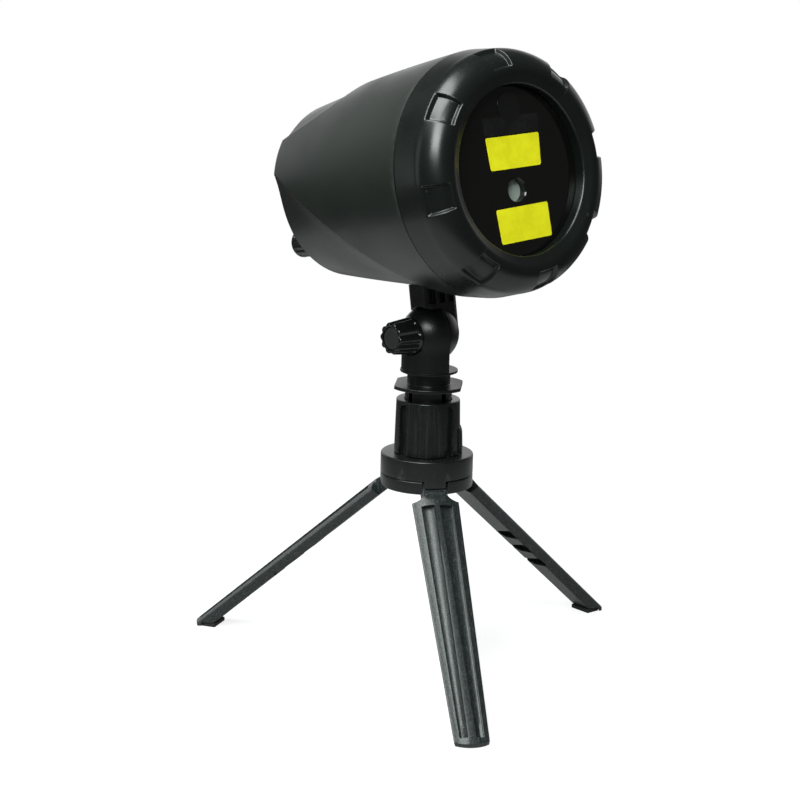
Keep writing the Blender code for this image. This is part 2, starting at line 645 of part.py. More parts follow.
def serration(name, parent, face, facing):
    """A ring of tapered grooves round X, cut into a face that looks along +X or -X."""
    shape = bmesh.new()
    pitch = 2 * pi / TEETH
    width = 0.97 * 2 * tan(pitch / 2) / sqrt(3)
    squash = Matrix.Diagonal((TOOTH_HEIGHT / TOOTH_OUTER, width, 1, 1))
    lift = Matrix.Translation((0, 0, (TOOTH_INNER + TOOTH_OUTER) / 2))
    for tooth in range(TEETH):
        groove = bmesh.ops.create_cone(shape, cap_ends=True, segments=3,
                                       radius1=TOOTH_INNER, radius2=TOOTH_OUTER,
                                       depth=TOOTH_OUTER - TOOTH_INNER)["verts"]
        for corner in groove:
            if corner.co.x < 0:
                corner.co.x *= 0.2
        place = Matrix.Rotation(tooth * pitch, 4, "X") @ lift @ squash
        bmesh.ops.transform(shape, matrix=place, verts=groove)
    if facing > 0:
        bmesh.ops.transform(shape, matrix=Matrix.Rotation(pi, 4, "Z"), verts=shape.verts)
    return piece(name, shape, parent, at=(face, 0, 0))


def build_knuckle():
    """The lower half of the knuckle: a half ball on an upright, a thin base and a spigot."""
    level = PIVOT_LEVEL - KNUCKLE_LEVEL
    spigot_end = PLUG_SHELF + FIT - PIVOT_LEVEL
    knuckle_frame = frame("knuckle", pan_axis, (0, 0, PIVOT_LEVEL))
    lower = turned("lower_knuckle", [
        (0, -BALL_RADIUS * 0.2), (UPRIGHT_RADIUS, -BALL_RADIUS * 0.2),
        (UPRIGHT_RADIUS, BASE_THICKNESS - level), (BASE_RADIUS, BASE_THICKNESS - level),
        (BASE_RADIUS, -level), (SPIGOT_RADIUS, -level), (SPIGOT_RADIUS, spigot_end),
        (0, spigot_end)], knuckle_frame, KNUCKLE_BLACK)
    join(lower, piece("lower_ball", ball(BALL_RADIUS), knuckle_frame))
    far = 2 * BALL_RADIUS
    cut(lower, piece("lower_half_cut", box(
        (PARTING, -far, BASE_THICKNESS - level), (far, far, far)), knuckle_frame))
    cut(lower, piece("spotface", rod(BALL_RADIUS, -far, -SPOTFACE, "X"), knuckle_frame))
    cut(lower, serration("lower_teeth", knuckle_frame, PARTING, 1))
    cut(lower, piece("lower_bolt_hole", rod(
        BOLT_RADIUS + FIT, -far, far, "X", sides=20), knuckle_frame))
    seat = PLUG_SHELF - FIT
    cut(lower, piece("swivel_thread", rod(
        SWIVEL_SCREW_RADIUS + FIT, -2 * level, seat + SWIVEL_SCREW_LENGTH + FIT - PIVOT_LEVEL,
        sides=12), knuckle_frame))
    screw_piece("swivel_screw", pan_axis, SWIVEL_SCREW_LENGTH, (0, 0, seat), (pi, 0, 0),
                SWIVEL_HEAD_RADIUS, SWIVEL_HEAD_HEIGHT, SWIVEL_SCREW_RADIUS)


def build_clamp():
    """The knob with its cap, the bolt through the knuckle, and the captive nut."""
    base = SPOTFACE + FIT
    end = base + KNOB_LENGTH
    cap_floor = end - CAP_RECESS - CAP_THICKNESS - FIT
    head_end = cap_floor - FIT
    head_seat = head_end - BOLT_HEAD_HEIGHT
    rings = []
    for height in (base, base + FLUTE_START / 2, base + FLUTE_START, end - EDGE, end):
        along = (height - base) / KNOB_LENGTH
        radius = KNOB_BASE_RADIUS + (KNOB_END_RADIUS - KNOB_BASE_RADIUS) * along
        radius -= EDGE if height == end else 0
        depth = FLUTE_DEPTH if height > base + FLUTE_START / 2 else 0
        ring = []
        for column in range(6 * FLUTES):
            angle = 2 * pi * column / (6 * FLUTES)
            hollow = (0.5 + 0.5 * cos(FLUTES * angle)) ** 1.5
            reach = radius - depth * hollow
            ring.append((reach * cos(angle), reach * sin(angle), height))
        rings.append(ring)
    knob = piece("clamp_knob", loft(rings), clamp_axis, KNUCKLE_BLACK)
    cut(knob, piece("cap_recess", rod(CAP_RADIUS + FIT, cap_floor, 2 * end), clamp_axis))
    cut(knob, piece("bolt_head_pocket", rod(
        BOLT_HEAD_RADIUS + FIT, head_seat - FIT, 2 * end, sides=6), clamp_axis))
    cut(knob, piece("knob_bore", rod(BOLT_RADIUS + FIT, 0, 2 * end, sides=20), clamp_axis))
    piece("knob_cap", rod(CAP_RADIUS, cap_floor + FIT, end - CAP_RECESS), clamp_axis,
          KNUCKLE_BLACK)
    tip = -NUT_SEAT - FIT - NUT_THICKNESS - FIT
    bolt = piece("clamp_bolt", rod(BOLT_RADIUS, tip, head_end - BOLT_HEAD_HEIGHT / 2,
                                   sides=20), clamp_axis, STEEL)
    join(bolt, piece("bolt_head", rod(BOLT_HEAD_RADIUS, head_seat, head_end, sides=6),
                     clamp_axis))
    nut = piece("clamp_nut", rod(NUT_RADIUS, NUT_SEAT + FIT, NUT_SEAT + FIT + NUT_THICKNESS,
                                 "X", sides=6), tilt_axis, STEEL)
    cut(nut, piece("nut_bore", rod(BOLT_RADIUS + FIT, 0, 4 * NUT_RADIUS, "X", sides=20),
                   tilt_axis))


def crease_start(height):
    """Depth at which the barrel's crease crosses the given height, the sine of an angle."""
    if height >= PETAL_HIGH:
        share = (1 - height) / (1 - PETAL_HIGH)
        return TONGUE_TIP + (PETAL_END - TONGUE_TIP) * share ** 2.2
    if height > PETAL_LOW:
        return PETAL_END
    return BELLY_TIP + (PETAL_END - BELLY_TIP) * (height + 1) / (PETAL_LOW + 1)


def barrel_radius(angle, depth):
    """The barrel's radius: a long taper, dropped behind the crease."""
    share = (depth - JUNCTION) / (BARREL_END - JUNCTION)
    radius = BARREL_FRONT_RADIUS + (BARREL_REAR_RADIUS - BARREL_FRONT_RADIUS) * share
    radius += 4 * BARREL_BELLY * share * (1 - share)
    height = sin(angle)
    beyond = depth - crease_start(height)
    if beyond <= 0:
        return radius
    lower = LOWER_DROP + LOWER_SIDE_DROP * abs(cos(angle))
    blend = min(max((height - PETAL_LOW) / (PETAL_HIGH - PETAL_LOW), 0), 1)
    drop = lower + (UPPER_DROP - lower) * blend
    reach = LOWER_REACH + (UPPER_REACH - LOWER_REACH) * blend
    return radius - drop * (1 - exp(-beyond / reach))


BARREL_ANGLES = [2 * pi * column / COLUMNS for column in range(COLUMNS)]
BEFORE_CREASE = (0.15, 0.43, 0.72, 1.0)
BEHIND_CREASE = (0.06, 0.16, 0.32, 0.62, 1.0)


def barrel_ring(depth_of, offset):
    """One ring of the barrel; depth_of gives the depth at an angle."""
    ring = []
    for angle in BARREL_ANGLES:
        depth = depth_of(angle)
        radius = barrel_radius(angle, depth) + offset
        ring.append((radius * cos(angle), radius * sin(angle), RIM_AHEAD - depth))
    return ring


def barrel_outside(offset=0.0):
    """Rings along the barrel's outside, rows gathered at the crease, front to rear."""
    rings = [barrel_ring(lambda angle: JUNCTION, offset)]
    for share in BEFORE_CREASE:
        rings.append(barrel_ring(
            lambda angle: JUNCTION + share * (crease_start(sin(angle)) - JUNCTION), offset))
    last = BARREL_END - REAR_EDGE
    for share in BEHIND_CREASE:
        rings.append(barrel_ring(
            lambda angle: crease_start(sin(angle)) + share * (
                last - crease_start(sin(angle))), offset))
    rings.append(barrel_ring(lambda angle: BARREL_END, offset - REAR_EDGE))
    return rings


def circle(radius, station):
    """A plain ring on the barrel's columns."""
    return [(radius * cos(angle), radius * sin(angle), station) for angle in BARREL_ANGLES]


def build_barrel():
    """The barrel shell, open in front, with its rear wall in one with it."""
    plate_back = RIM_AHEAD - PLATE_STATION
    depths = sorted((BELLY_TIP, *INNER_DEPTHS, plate_back - PLATE_THICKNESS, plate_back,
                     BARREL_END - SHELL))
    inside = [barrel_ring(lambda angle: depth, -SHELL) for depth in reversed(depths)]
    inside.append(circle(BARREL_BORE, RIM_AHEAD - JUNCTION - BORE_DEPTH))
    inside.append(circle(BARREL_BORE, RIM_AHEAD - JUNCTION - FIT))
    outside = barrel_outside()
    outside[0] = circle(BARREL_FRONT_RADIUS, RIM_AHEAD - JUNCTION - FIT)
    barrel = piece("barrel_shell", loft(inside + outside), head, BARREL_BLACK)
    for name, place, radius in (("inlet_hole", inlet_axis, INLET_SHANK_RADIUS),
                                ("button_hole", button_axis, BUTTON_SHANK_RADIUS)):
        cut(barrel, piece(name, rod(radius + FIT, -SHELL, 2 * SHELL, sides=20), place))
    bracket_cut = piece("barrel_room", loft(barrel_outside(FIT)), head)
    return barrel, bracket_cut


def build_bracket(barrel, barrel_room):
    """The upper half of the knuckle with its neck, fitted to the barrel's underside."""
    far = 2 * UPPER_BALL_RADIUS
    face = PARTING + FIT
    top = HEAD_RISE - BARREL_REAR_RADIUS + SHELL
    bracket = turned("head_bracket", [
        (0, top), (NECK_TOP_RADIUS, top), (NECK_TOP_RADIUS, NECK_FLARE_END),
        (NECK_RADIUS, NECK_FLARE_START), (NECK_RADIUS, BALL_RADIUS / 2),
        (0, BALL_RADIUS / 2)], tilt_axis, KNUCKLE_BLACK)
    room = piece("ball_room", ball(BALL_RADIUS + RUN), tilt_axis)
    cut(room, piece("ball_room_side", box((face, -far, -far), (far, far, far)), tilt_axis))
    half = piece("upper_ball", ball(UPPER_BALL_RADIUS), tilt_axis)
    cut(half, piece("upper_half_cut", box((-far, -far, -far), (face, far, far)), tilt_axis))
    cut(bracket, room)
    join(bracket, half)
    cut(bracket, piece("bracket_bolt_hole", rod(
        BOLT_RADIUS + FIT, 0, far, "X", sides=20), tilt_axis))
    cut(bracket, piece("nut_pocket", rod(
        NUT_RADIUS + FIT, NUT_SEAT, far, "X", sides=6), tilt_axis))
    cut(bracket, serration("upper_teeth", tilt_axis, face, -1))
    floor = NECK_RADIUS - NECK_GROOVE_DEPTH
    for number in (-1, 0, 1):
        middle = number * NECK_GROOVE_PITCH
        cut(bracket, piece(f"neck_groove_{number + 2}", box(
            (middle - NECK_GROOVE_WIDTH / 2, -far, UPPER_BALL_RADIUS + FIT),
            (middle + NECK_GROOVE_WIDTH / 2, -floor, 2 * top)), tilt_axis))
    cut(bracket, barrel_room)
    for number, side in enumerate((-1, 1), 1):
        station = side * BRACKET_SCREW_PITCH / 2
        depth = RIM_AHEAD - station
        inner = barrel_radius(-pi / 2, depth + SCREW_HEAD_RADIUS) - SHELL
        seat = -inner + 2 * FIT
        bore = piece(f"bracket_screw_bore_{number}", rod(
            SCREW_RADIUS + FIT, seat - BRACKET_SCREW_LENGTH - FIT, seat, "Y", (0, station),
            sides=16), head)
        cut(barrel, bore)
        cut(bracket, bore)
        screw_piece(f"bracket_screw_{number}", head, BRACKET_SCREW_LENGTH,
                    (0, seat, station), (-pi / 2, 0, 0))


def build_ring():
    """The front ring: a rounded lip with eight notches, a panel seat and a sealed skirt."""
    crest_station = RIM_AHEAD + CREST_AHEAD
    side_station = crest_station - ROUNDING_DEPTH
    junction = RIM_AHEAD - JUNCTION
    skirt = BARREL_BORE - FIT
    groove = BARREL_BORE - 2 * SEAL_RADIUS - 2 * FIT
    seal = junction - SEAL_SETBACK
    panel_back = RIM_AHEAD - PANEL_DEPTH - PANEL_THICKNESS - FIT
    taper = (BARREL_FRONT_RADIUS - ROUNDING_RADIUS) / (side_station - junction)
    tail = side_station - NOTCH_TAIL
    rows = [(RECESS_RADIUS, RIM_AHEAD, 0, 0), (CREST_RADIUS, crest_station, 0, 0)]
    for degrees, share in ((80, 0), (76, 1), (58, 1), (40, 1), (20, 1)):
        lean = radians(degrees)
        rows.append((CREST_RADIUS + (ROUNDING_RADIUS - CREST_RADIUS) * cos(lean),
                     side_station + ROUNDING_DEPTH * sin(lean), share, lean))
    rows += [(ROUNDING_RADIUS + taper * (side_station - tail - EDGE), tail + EDGE, 1, 0),
             (ROUNDING_RADIUS + taper * (side_station - tail), tail, 0, 0),
             (BARREL_FRONT_RADIUS, junction, 0, 0), (skirt, junction, 0, 0),
             (skirt, seal + SEAL_RADIUS + FIT, 0, 0), (groove, seal + SEAL_RADIUS + FIT, 0, 0),
             (groove, seal - SEAL_RADIUS - FIT, 0, 0), (skirt, seal - SEAL_RADIUS - FIT, 0, 0),
             (skirt, junction - SKIRT_LENGTH, 0, 0), (SKIRT_BORE, junction - SKIRT_LENGTH, 0, 0),
             (SKIRT_BORE, junction + SKIRT_LENGTH * 0.7, 0, 0),
             (CREST_RADIUS, panel_back - SHOULDER_THICKNESS, 0, 0),
             (SHOULDER_RADIUS, panel_back - SHOULDER_THICKNESS, 0, 0),
             (SHOULDER_RADIUS, panel_back, 0, 0), (RECESS_RADIUS, panel_back, 0, 0)]
    step = 360 / NOTCHES
    edge = 0.6
    stops = ((0, 1), (NOTCH_HALF_ANGLE, 1), (NOTCH_HALF_ANGLE + edge, 0), (step * 0.4, 0),
             (step * 0.6, 0), (step - NOTCH_HALF_ANGLE - edge, 0), (step - NOTCH_HALF_ANGLE, 1))
    columns = [(radians(NOTCH_FIRST + step * notch + offset), within)
               for notch in range(NOTCHES) for offset, within in stops]
    rings = []
    for radius, station, share, lean in rows:
        ring = []
        for angle, within in columns:
            sink = NOTCH_DEPTH * share * within
            reach = radius - sink * cos(lean)
            ring.append((reach * cos(angle), reach * sin(angle), station - sink * sin(lean)))
        rings.append(ring)
    piece("front_ring", loft(rings, closed=True), head, RING_BLACK)
    middle = BARREL_BORE - FIT - SEAL_RADIUS
    turned("ring_seal", arc(SEAL_RADIUS, 0, -5 * pi / 3, 5, (middle, seal)), head, RUBBER,
           closed=True)


def build_panel():
    """The glossy panel in the ring's recess, its aperture and the window behind it."""
    front = RIM_AHEAD - PANEL_DEPTH
    back = front - PANEL_THICKNESS
    bore = WINDOW_RADIUS + FIT
    panel = piece("front_panel", rod(RECESS_RADIUS - FIT, back, front, sides=56), head,
                  GLOSS_BLACK)
    beam = (0, -BEAM_DROP)
    join(panel, piece("window_boss", rod(bore + BOSS_WALL, back - BOSS_LENGTH,
                                         (front + back) / 2, across=beam), head))
    cut(panel, piece("aperture", rod(APERTURE_RADIUS, 0, 2 * front, across=beam), head))
    window_front = front - WINDOW_SETBACK
    cut(panel, piece("window_seat", rod(bore, 0, window_front + FIT, across=beam), head))
    piece("aperture_window", rod(WINDOW_RADIUS, window_front - WINDOW_THICKNESS, window_front,
                                 across=beam), head, WINDOW_GLASS)


def jam_nut(name, axis, shank_radius, start):
    """A hexagon nut inside the rear wall."""
    base = SHELL + FIT
    nut = piece(name, rod(JAM_NUT_RADIUS, base, base + JAM_NUT_HEIGHT, sides=6, start=start),
                axis, BRASS)
    cut(nut, piece(f"{name}_bore", rod(shank_radius + FIT, 0, 2 * SHANK_LENGTH, sides=20),
                   axis))


def build_rear():
    """The power inlet and the mode button in the rear wall, each with its nut inside."""
    inlet = turned("power_inlet", [
        (0, SHANK_LENGTH), (INLET_SHANK_RADIUS, SHANK_LENGTH), (INLET_SHANK_RADIUS, -FIT),
        (INLET_RADIUS, -FIT), (INLET_RADIUS, EDGE - INLET_LENGTH),
        (INLET_RADIUS - EDGE, -INLET_LENGTH), (INLET_SOCKET_RADIUS, -INLET_LENGTH),
        (INLET_SOCKET_RADIUS, -INLET_LENGTH / 3), (INLET_PIN_RADIUS, -INLET_LENGTH / 3),
        (INLET_PIN_RADIUS, EDGE - INLET_LENGTH * 0.9), (0, EDGE - INLET_LENGTH * 0.9)],
        inlet_axis, KNUCKLE_BLACK, steps=24)
    grips = bmesh.new()
    for number in range(INLET_GRIPS):
        middle = Matrix.Translation((INLET_RADIUS + EDGE / 2, 0, -INLET_LENGTH * 0.55))
        bmesh.ops.create_cone(grips, cap_ends=True, segments=6, radius1=EDGE, radius2=EDGE,
                              depth=INLET_LENGTH * 0.7,
                              matrix=Matrix.Rotation(2 * pi * number / INLET_GRIPS, 4, "Z")
                              @ middle)
    cut(inlet, piece("inlet_grips", grips, inlet_axis))
    jam_nut("inlet_nut", inlet_axis, INLET_SHANK_RADIUS, 0.0)
    well = BUTTON_CAP_RADIUS + FIT
    stem = BUTTON_STEM_RADIUS + FIT
    cap_front = -FIT - EDGE - FIT - BUTTON_TRAVEL - FIT
    floor = cap_front + BUTTON_TRAVEL + FIT
    turned("button_ring", [
        (stem, SHANK_LENGTH), (BUTTON_SHANK_RADIUS, SHANK_LENGTH), (BUTTON_SHANK_RADIUS, -FIT),
        (BUTTON_RING_RADIUS, -FIT), (BUTTON_RING_RADIUS, EDGE - BUTTON_RING_LENGTH),
        (BUTTON_RING_RADIUS - EDGE, -BUTTON_RING_LENGTH), (well, -BUTTON_RING_LENGTH),
        (well, floor), (stem, floor)], button_axis, KNUCKLE_BLACK, closed=True, steps=20)
    proud = -BUTTON_RING_LENGTH - BUTTON_PROUD
    keeper = SHANK_LENGTH + FIT
    turned("mode_button", [
        (0, keeper + 2 * EDGE), (BUTTON_STEM_RADIUS + EDGE, keeper + 2 * EDGE),
        (BUTTON_STEM_RADIUS + EDGE, keeper), (BUTTON_STEM_RADIUS, keeper),
        (BUTTON_STEM_RADIUS, cap_front), (BUTTON_CAP_RADIUS, cap_front),
        (BUTTON_CAP_RADIUS, proud + EDGE), (BUTTON_CAP_RADIUS - EDGE, proud), (0, proud)],
        button_axis, RUBBER, steps=20)
    jam_nut("button_nut", button_axis, BUTTON_SHANK_RADIUS, pi / 6)


def build_chassis():
    """The bulkhead across the barrel, with the shelf that carries the driver board."""
    back = PLATE_STATION
    front = back + PLATE_THICKNESS
    outline = []
    for angle in BARREL_ANGLES:
        radius = min(barrel_radius(angle, RIM_AHEAD - station) for station in (back, front))
        radius -= SHELL + FIT
        outline.append((radius * cos(angle), radius * sin(angle)))
    chassis = piece("chassis", prism(outline, back, front), head, ALUMINIUM)
    half = SHELF_WIDTH / 2
    shelf_top = SHELF_LEVEL + SHELF_THICKNESS
    join(chassis, piece("shelf", box((-half, SHELF_LEVEL, (back + front) / 2),
                                     (half, shelf_top, SHELF_END)), head))
    board_start = front + FIT
    board_base = shelf_top + STANDOFF_HEIGHT + FIT
    board = piece("driver_board", box(
        (-BOARD_WIDTH / 2, board_base, board_start),
        (BOARD_WIDTH / 2, board_base + BOARD_THICKNESS, board_start + BOARD_LENGTH)),
        head, BOARD_GREEN)
    board_middle = board_start + BOARD_LENGTH / 2
    inside = board_base + BOARD_THICKNESS / 2
    for name, left, right, height, start, end in BOARD_BLOCKS:
        join(board, piece(name, box((left, inside, start), (
            right, board_base + BOARD_THICKNESS + height, end)), head))
    for number, place in enumerate(CAPACITOR_PLACES, 1):
        join(board, piece(f"capacitor_{number}", rod(
            CAPACITOR_RADIUS, inside, board_base + CAPACITOR_HEIGHT, "Y", place, sides=12), head))
    for number, side in enumerate((-1, 1), 1):
        across = side * STANDOFF_SPREAD / 2
        spot = (across, board_middle)
        join(chassis, piece(f"standoff_{number}", rod(
            STANDOFF_RADIUS, SHELF_LEVEL + SHELF_THICKNESS / 2, shelf_top + STANDOFF_HEIGHT,
            "Y", spot, sides=12), head))
        bore = piece(f"board_screw_bore_{number}", rod(
            SMALL_SCREW_RADIUS + FIT, 0, 2 * board_base, "Y", spot, sides=12), head)
        cut(chassis, bore)
        cut(board, bore)
        screw_piece(f"board_screw_{number}", head, board_base - SHELF_LEVEL,
                    (across, board_base + BOARD_THICKNESS + FIT, board_middle),
                    (-pi / 2, 0, 0), 2 * SMALL_SCREW_RADIUS, SMALL_SCREW_RADIUS,
                    SMALL_SCREW_RADIUS)
    return chassis


def build_block(chassis):
    """The laser block on the bulkhead: two bores, the combiner's ledge and the motor cradle."""
    beam = -BEAM_DROP
    back = PLATE_STATION + PLATE_THICKNESS + FIT
    half = BLOCK_WIDTH / 2
    bore = LASER_RADIUS + FIT
    wall = bore + ARM_WALL
    block = piece("laser_block", box((-half, BLOCK_BOTTOM, back), (half, BLOCK_TOP, BLOCK_END)),
                  head, ALUMINIUM)
    combiner_reach = COMBINER_SIDE / sqrt(8) + COMBINER_THICKNESS
    join(block, piece("red_arm", box(
        (-ARM_END, beam - wall, RED_STATION - wall - EDGE),
        (-RED_INNER_END + EDGE, BLOCK_TOP - EDGE, RED_STATION + wall)), head))
    join(block, piece("combiner_ledge", box(
        (-half + EDGE, BLOCK_BOTTOM + EDGE, BLOCK_END - EDGE),
        (combiner_reach + EDGE, beam - COMBINER_SIDE / 2 - FIT, RED_STATION + wall - EDGE)),
        head))
    cradle_start = BLOCK_END - EDGE - CRADLE_LENGTH
    join(block, piece("motor_cradle", box(
        (-CRADLE_WIDTH / 2, BLOCK_TOP - EDGE, cradle_start),
        (CRADLE_WIDTH / 2, CRADLE_TOP, cradle_start + CRADLE_LENGTH)), head))
    cut(block, piece("cradle_hollow", rod(
        MOTOR_RADIUS + FIT, 0, 2 * BLOCK_END, across=(0, MOTOR_LEVEL)), head))
    laser_start = back + LASER_SETBACK
    cut(block, piece("green_bore", rod(
        bore, laser_start - FIT, laser_start + LASER_LENGTH + FIT, across=(0, beam)), head))
    cut(block, piece("red_bore", rod(bore, -2 * ARM_END, FIT - RED_INNER_END + EDGE, "X",
                                     (beam, RED_STATION)), head))
    for number in range(3):
        station = back + FIN_START + FIN_PITCH * number
        for side in (-1, 1):
            cut(block, piece(f"block_fin_gap_{number + 1}_{side}", box(
                (side * half - FIN_DEPTH, 2 * BLOCK_BOTTOM, station),
                (side * half + FIN_DEPTH, -BLOCK_BOTTOM, station + FIN_GAP)), head))
    piece("green_laser", rod(LASER_RADIUS, laser_start, laser_start + LASER_LENGTH,
                             across=(0, beam)), head, BRASS)
    piece("red_laser", rod(LASER_RADIUS, -RED_INNER_END - LASER_LENGTH, -RED_INNER_END, "X",
                           (beam, RED_STATION)), head, BRASS)
    side = COMBINER_SIDE / 2
    thin = COMBINER_THICKNESS / 2
    piece("beam_combiner", box((-side, -side, -thin), (side, side, thin)), head, OPTIC,
          at=(0, beam, RED_STATION), turn=(0, -pi / 4, 0))
    for number, sign in enumerate((-1, 1), 1):
        across = sign * BLOCK_SCREW_PLACE[0]
        level = BLOCK_SCREW_PLACE[1]
        tool = piece(f"block_screw_bore_{number}", rod(
            SCREW_RADIUS + FIT, 0, back + 3 * SHELL + FIT, across=(across, level), sides=16),
            head)
        cut(chassis, tool)
        cut(block, tool)
        seat = PLATE_STATION - FIT
        screw_piece(f"block_screw_{number}", head, back + 3 * SHELL - seat,
                    (across, level, seat), (pi, 0, 0))


def build_scanner():
    """The motor in its cradle, its strap, and the grating disc that it turns."""
    bore = SHAFT_RADIUS + FIT
    back = MOTOR_FRONT - MOTOR_LENGTH
    shaft_end = MOTOR_FRONT - SHAFT_REACH
    turned("grating_motor", [
        (0, shaft_end - FIT), (bore, shaft_end - FIT), (bore, MOTOR_FRONT),
        (MOTOR_RADIUS - EDGE, MOTOR_FRONT), (MOTOR_RADIUS, MOTOR_FRONT - EDGE),
        (MOTOR_RADIUS, back + EDGE),
        (MOTOR_RADIUS - EDGE, back), (0, back)], grating_axis, STEEL, steps=24)
    hub_back = GRATING_STATION - GRATING_HUB_RADIUS / 2
    hub_front = GRATING_STATION + GRATING_HUB_RADIUS * 0.8
    turned("grating_disc", [
        (0, hub_front), (GRATING_HUB_RADIUS, hub_front),
        (GRATING_HUB_RADIUS, GRATING_STATION + GRATING_THICKNESS),
        (GRATING_RADIUS, GRATING_STATION + GRATING_THICKNESS),
        (GRATING_RADIUS, GRATING_STATION), (GRATING_HUB_RADIUS, GRATING_STATION),
        (GRATING_HUB_RADIUS, hub_back), (SHAFT_RADIUS, hub_back), (SHAFT_RADIUS, shaft_end),
        (0, shaft_end)], grating_axis, OPTIC)
    inner = MOTOR_RADIUS + FIT
    outer = inner + STRAP_THICKNESS
    foot_base = CRADLE_TOP + FIT - MOTOR_LEVEL
    foot_top = foot_base + STRAP_THICKNESS
    low = asin(foot_base / inner)
    high = asin(foot_top / outer)
    foot = outer + STRAP_FOOT / 1.2
    outline = [(foot, foot_base), (foot, foot_top)] + arc(outer, high, pi - high, 12)
    outline += [(-foot, foot_top), (-foot, foot_base)] + arc(inner, pi - low, low, 12)
    start = BLOCK_END - EDGE - CRADLE_LENGTH / 2 - STRAP_WIDTH / 2
    piece("motor_strap", prism(outline, start, start + STRAP_WIDTH), grating_axis, STEEL)


def settle():
    """Turn every piece's modifiers into its mesh and shade it smooth between sharp edges."""
    bpy.context.view_layer.update()
    depsgraph = bpy.context.evaluated_depsgraph_get()
    solids = [item for item in PARTS.objects if item.type == "MESH"]
    meshes = [bpy.data.meshes.new_from_object(item.evaluated_get(depsgraph)) for item in solids]
    for item, mesh in zip(solids, meshes):
        item.modifiers.clear()
        item.data = mesh
        mesh.shade_smooth()
        mesh.set_sharp_from_angle(angle=radians(35))
    return solids


def centre_on_floor(solids):
    """Move the whole object so that the middle of its base is the origin."""
    corners = [item.matrix_world @ vertex.co for item in solids for vertex in item.data.vertices]
    low = [min(corner[axis] for corner in corners) for axis in range(3)]
    high = [max(corner[axis] for corner in corners) for axis in range(3)]
    projector.location = (-(low[0] + high[0]) / 2, -(low[1] + high[1]) / 2, -low[2])
    bpy.context.view_layer.update()


build_hub()
build_socket()
build_plug()
for leg_number, leg_angle in enumerate(LEG_ANGLES, 1):
    build_leg(leg_number, leg_angle)
build_knuckle()
build_clamp()
barrel_shell, bracket_room = build_barrel()
build_bracket(barrel_shell, bracket_room)
build_ring()
build_panel()
build_rear()
block_chassis = build_chassis()
build_block(block_chassis)
build_scanner()
centre_on_floor(settle())
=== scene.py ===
# %% [markdown]
# A laser light projector on a table tripod, dressed for its portrait.
# The solids from model.glb come first, as a fixed frame that gives every place and size in metres.
# Whatever is modelled below is set into that frame, so nothing has to be fitted by eye.

# %% Load the frame
import bmesh
import bpy
import json
from math import atan2, cos, exp, pi, radians, sin, sqrt, tan
from mathutils import Matrix, Vector


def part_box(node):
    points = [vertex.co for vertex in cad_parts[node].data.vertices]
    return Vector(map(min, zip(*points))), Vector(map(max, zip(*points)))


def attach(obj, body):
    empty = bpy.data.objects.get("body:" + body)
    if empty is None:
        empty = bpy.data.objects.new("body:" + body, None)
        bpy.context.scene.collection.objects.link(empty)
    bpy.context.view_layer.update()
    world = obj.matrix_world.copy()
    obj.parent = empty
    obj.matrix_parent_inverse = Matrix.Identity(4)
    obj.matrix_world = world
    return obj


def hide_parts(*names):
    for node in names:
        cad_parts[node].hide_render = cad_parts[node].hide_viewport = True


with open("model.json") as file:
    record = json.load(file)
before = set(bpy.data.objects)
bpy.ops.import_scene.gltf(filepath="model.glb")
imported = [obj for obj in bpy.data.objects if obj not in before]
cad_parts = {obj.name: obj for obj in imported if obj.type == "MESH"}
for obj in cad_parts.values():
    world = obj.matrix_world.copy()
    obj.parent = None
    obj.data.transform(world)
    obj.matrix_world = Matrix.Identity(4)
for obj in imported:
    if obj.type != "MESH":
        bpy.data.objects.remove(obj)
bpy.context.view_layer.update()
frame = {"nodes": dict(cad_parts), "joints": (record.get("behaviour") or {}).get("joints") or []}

MM = 0.001

# %% [markdown]
# Each moving part has a joint, and a joint knows its own axis.
# The stem, the tilt pivot, the head and the three legs get a matrix each from those joints.
# A shape can then be made round the world's middle, where it's easy to think about, and be
# carried to its place by one transform.

# %% Places taken from the joints
joints = {joint["name"]: joint for joint in frame["joints"]}
pivot = Vector(joints["head_tilt"]["pos_m"])
forward = Vector(joints["grating_spin"]["axis"]).normalized()
side = Vector((1, 0, 0))
up = forward.cross(side)
HEAD_RISE = 74.2                # from the tilt bolt up to the barrel's axis
HUB_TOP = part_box("hub_upper")[1].z
STAND_TURN = radians(-0.8)
LEG_SLOPE = radians(41.35)
TILT = atan2(forward.z, -forward.y)

PIVOT = Matrix.Translation(pivot)
BRACKET = PIVOT @ Matrix.Rotation(-TILT, 4, "X")
HEAD = (Matrix.Translation(pivot + up * (HEAD_RISE * MM))
        @ Matrix((side, up, forward)).transposed().to_4x4())
STAND = (Matrix.Translation((pivot.x, pivot.y, HUB_TOP))
         @ Matrix.Rotation(STAND_TURN, 4, "Z"))
KNOB = PIVOT @ Matrix.Rotation(-pi / 2, 4, "Y")


def leg_place(number):
    """The frame of one leg: X from its pin to its toe, Z out of its crown."""
    joint = joints[f"leg_{number}_fold"]
    axis = joint["axis"]
    turn = Matrix.Rotation(atan2(-axis[0], axis[1]), 4, "Z")
    return Matrix.Translation(joint["pos_m"]) @ turn @ Matrix.Rotation(LEG_SLOPE, 4, "Y")


print("head turned up by", round(TILT * 180 / pi, 2), "degrees; hub top at", round(HUB_TOP, 4))

# %% [markdown]
# The camera stands a metre away, somewhat higher than the head, and looks down by 13 degrees.
# A long 90 mm lens keeps the legs from spreading, as in a catalogue picture.

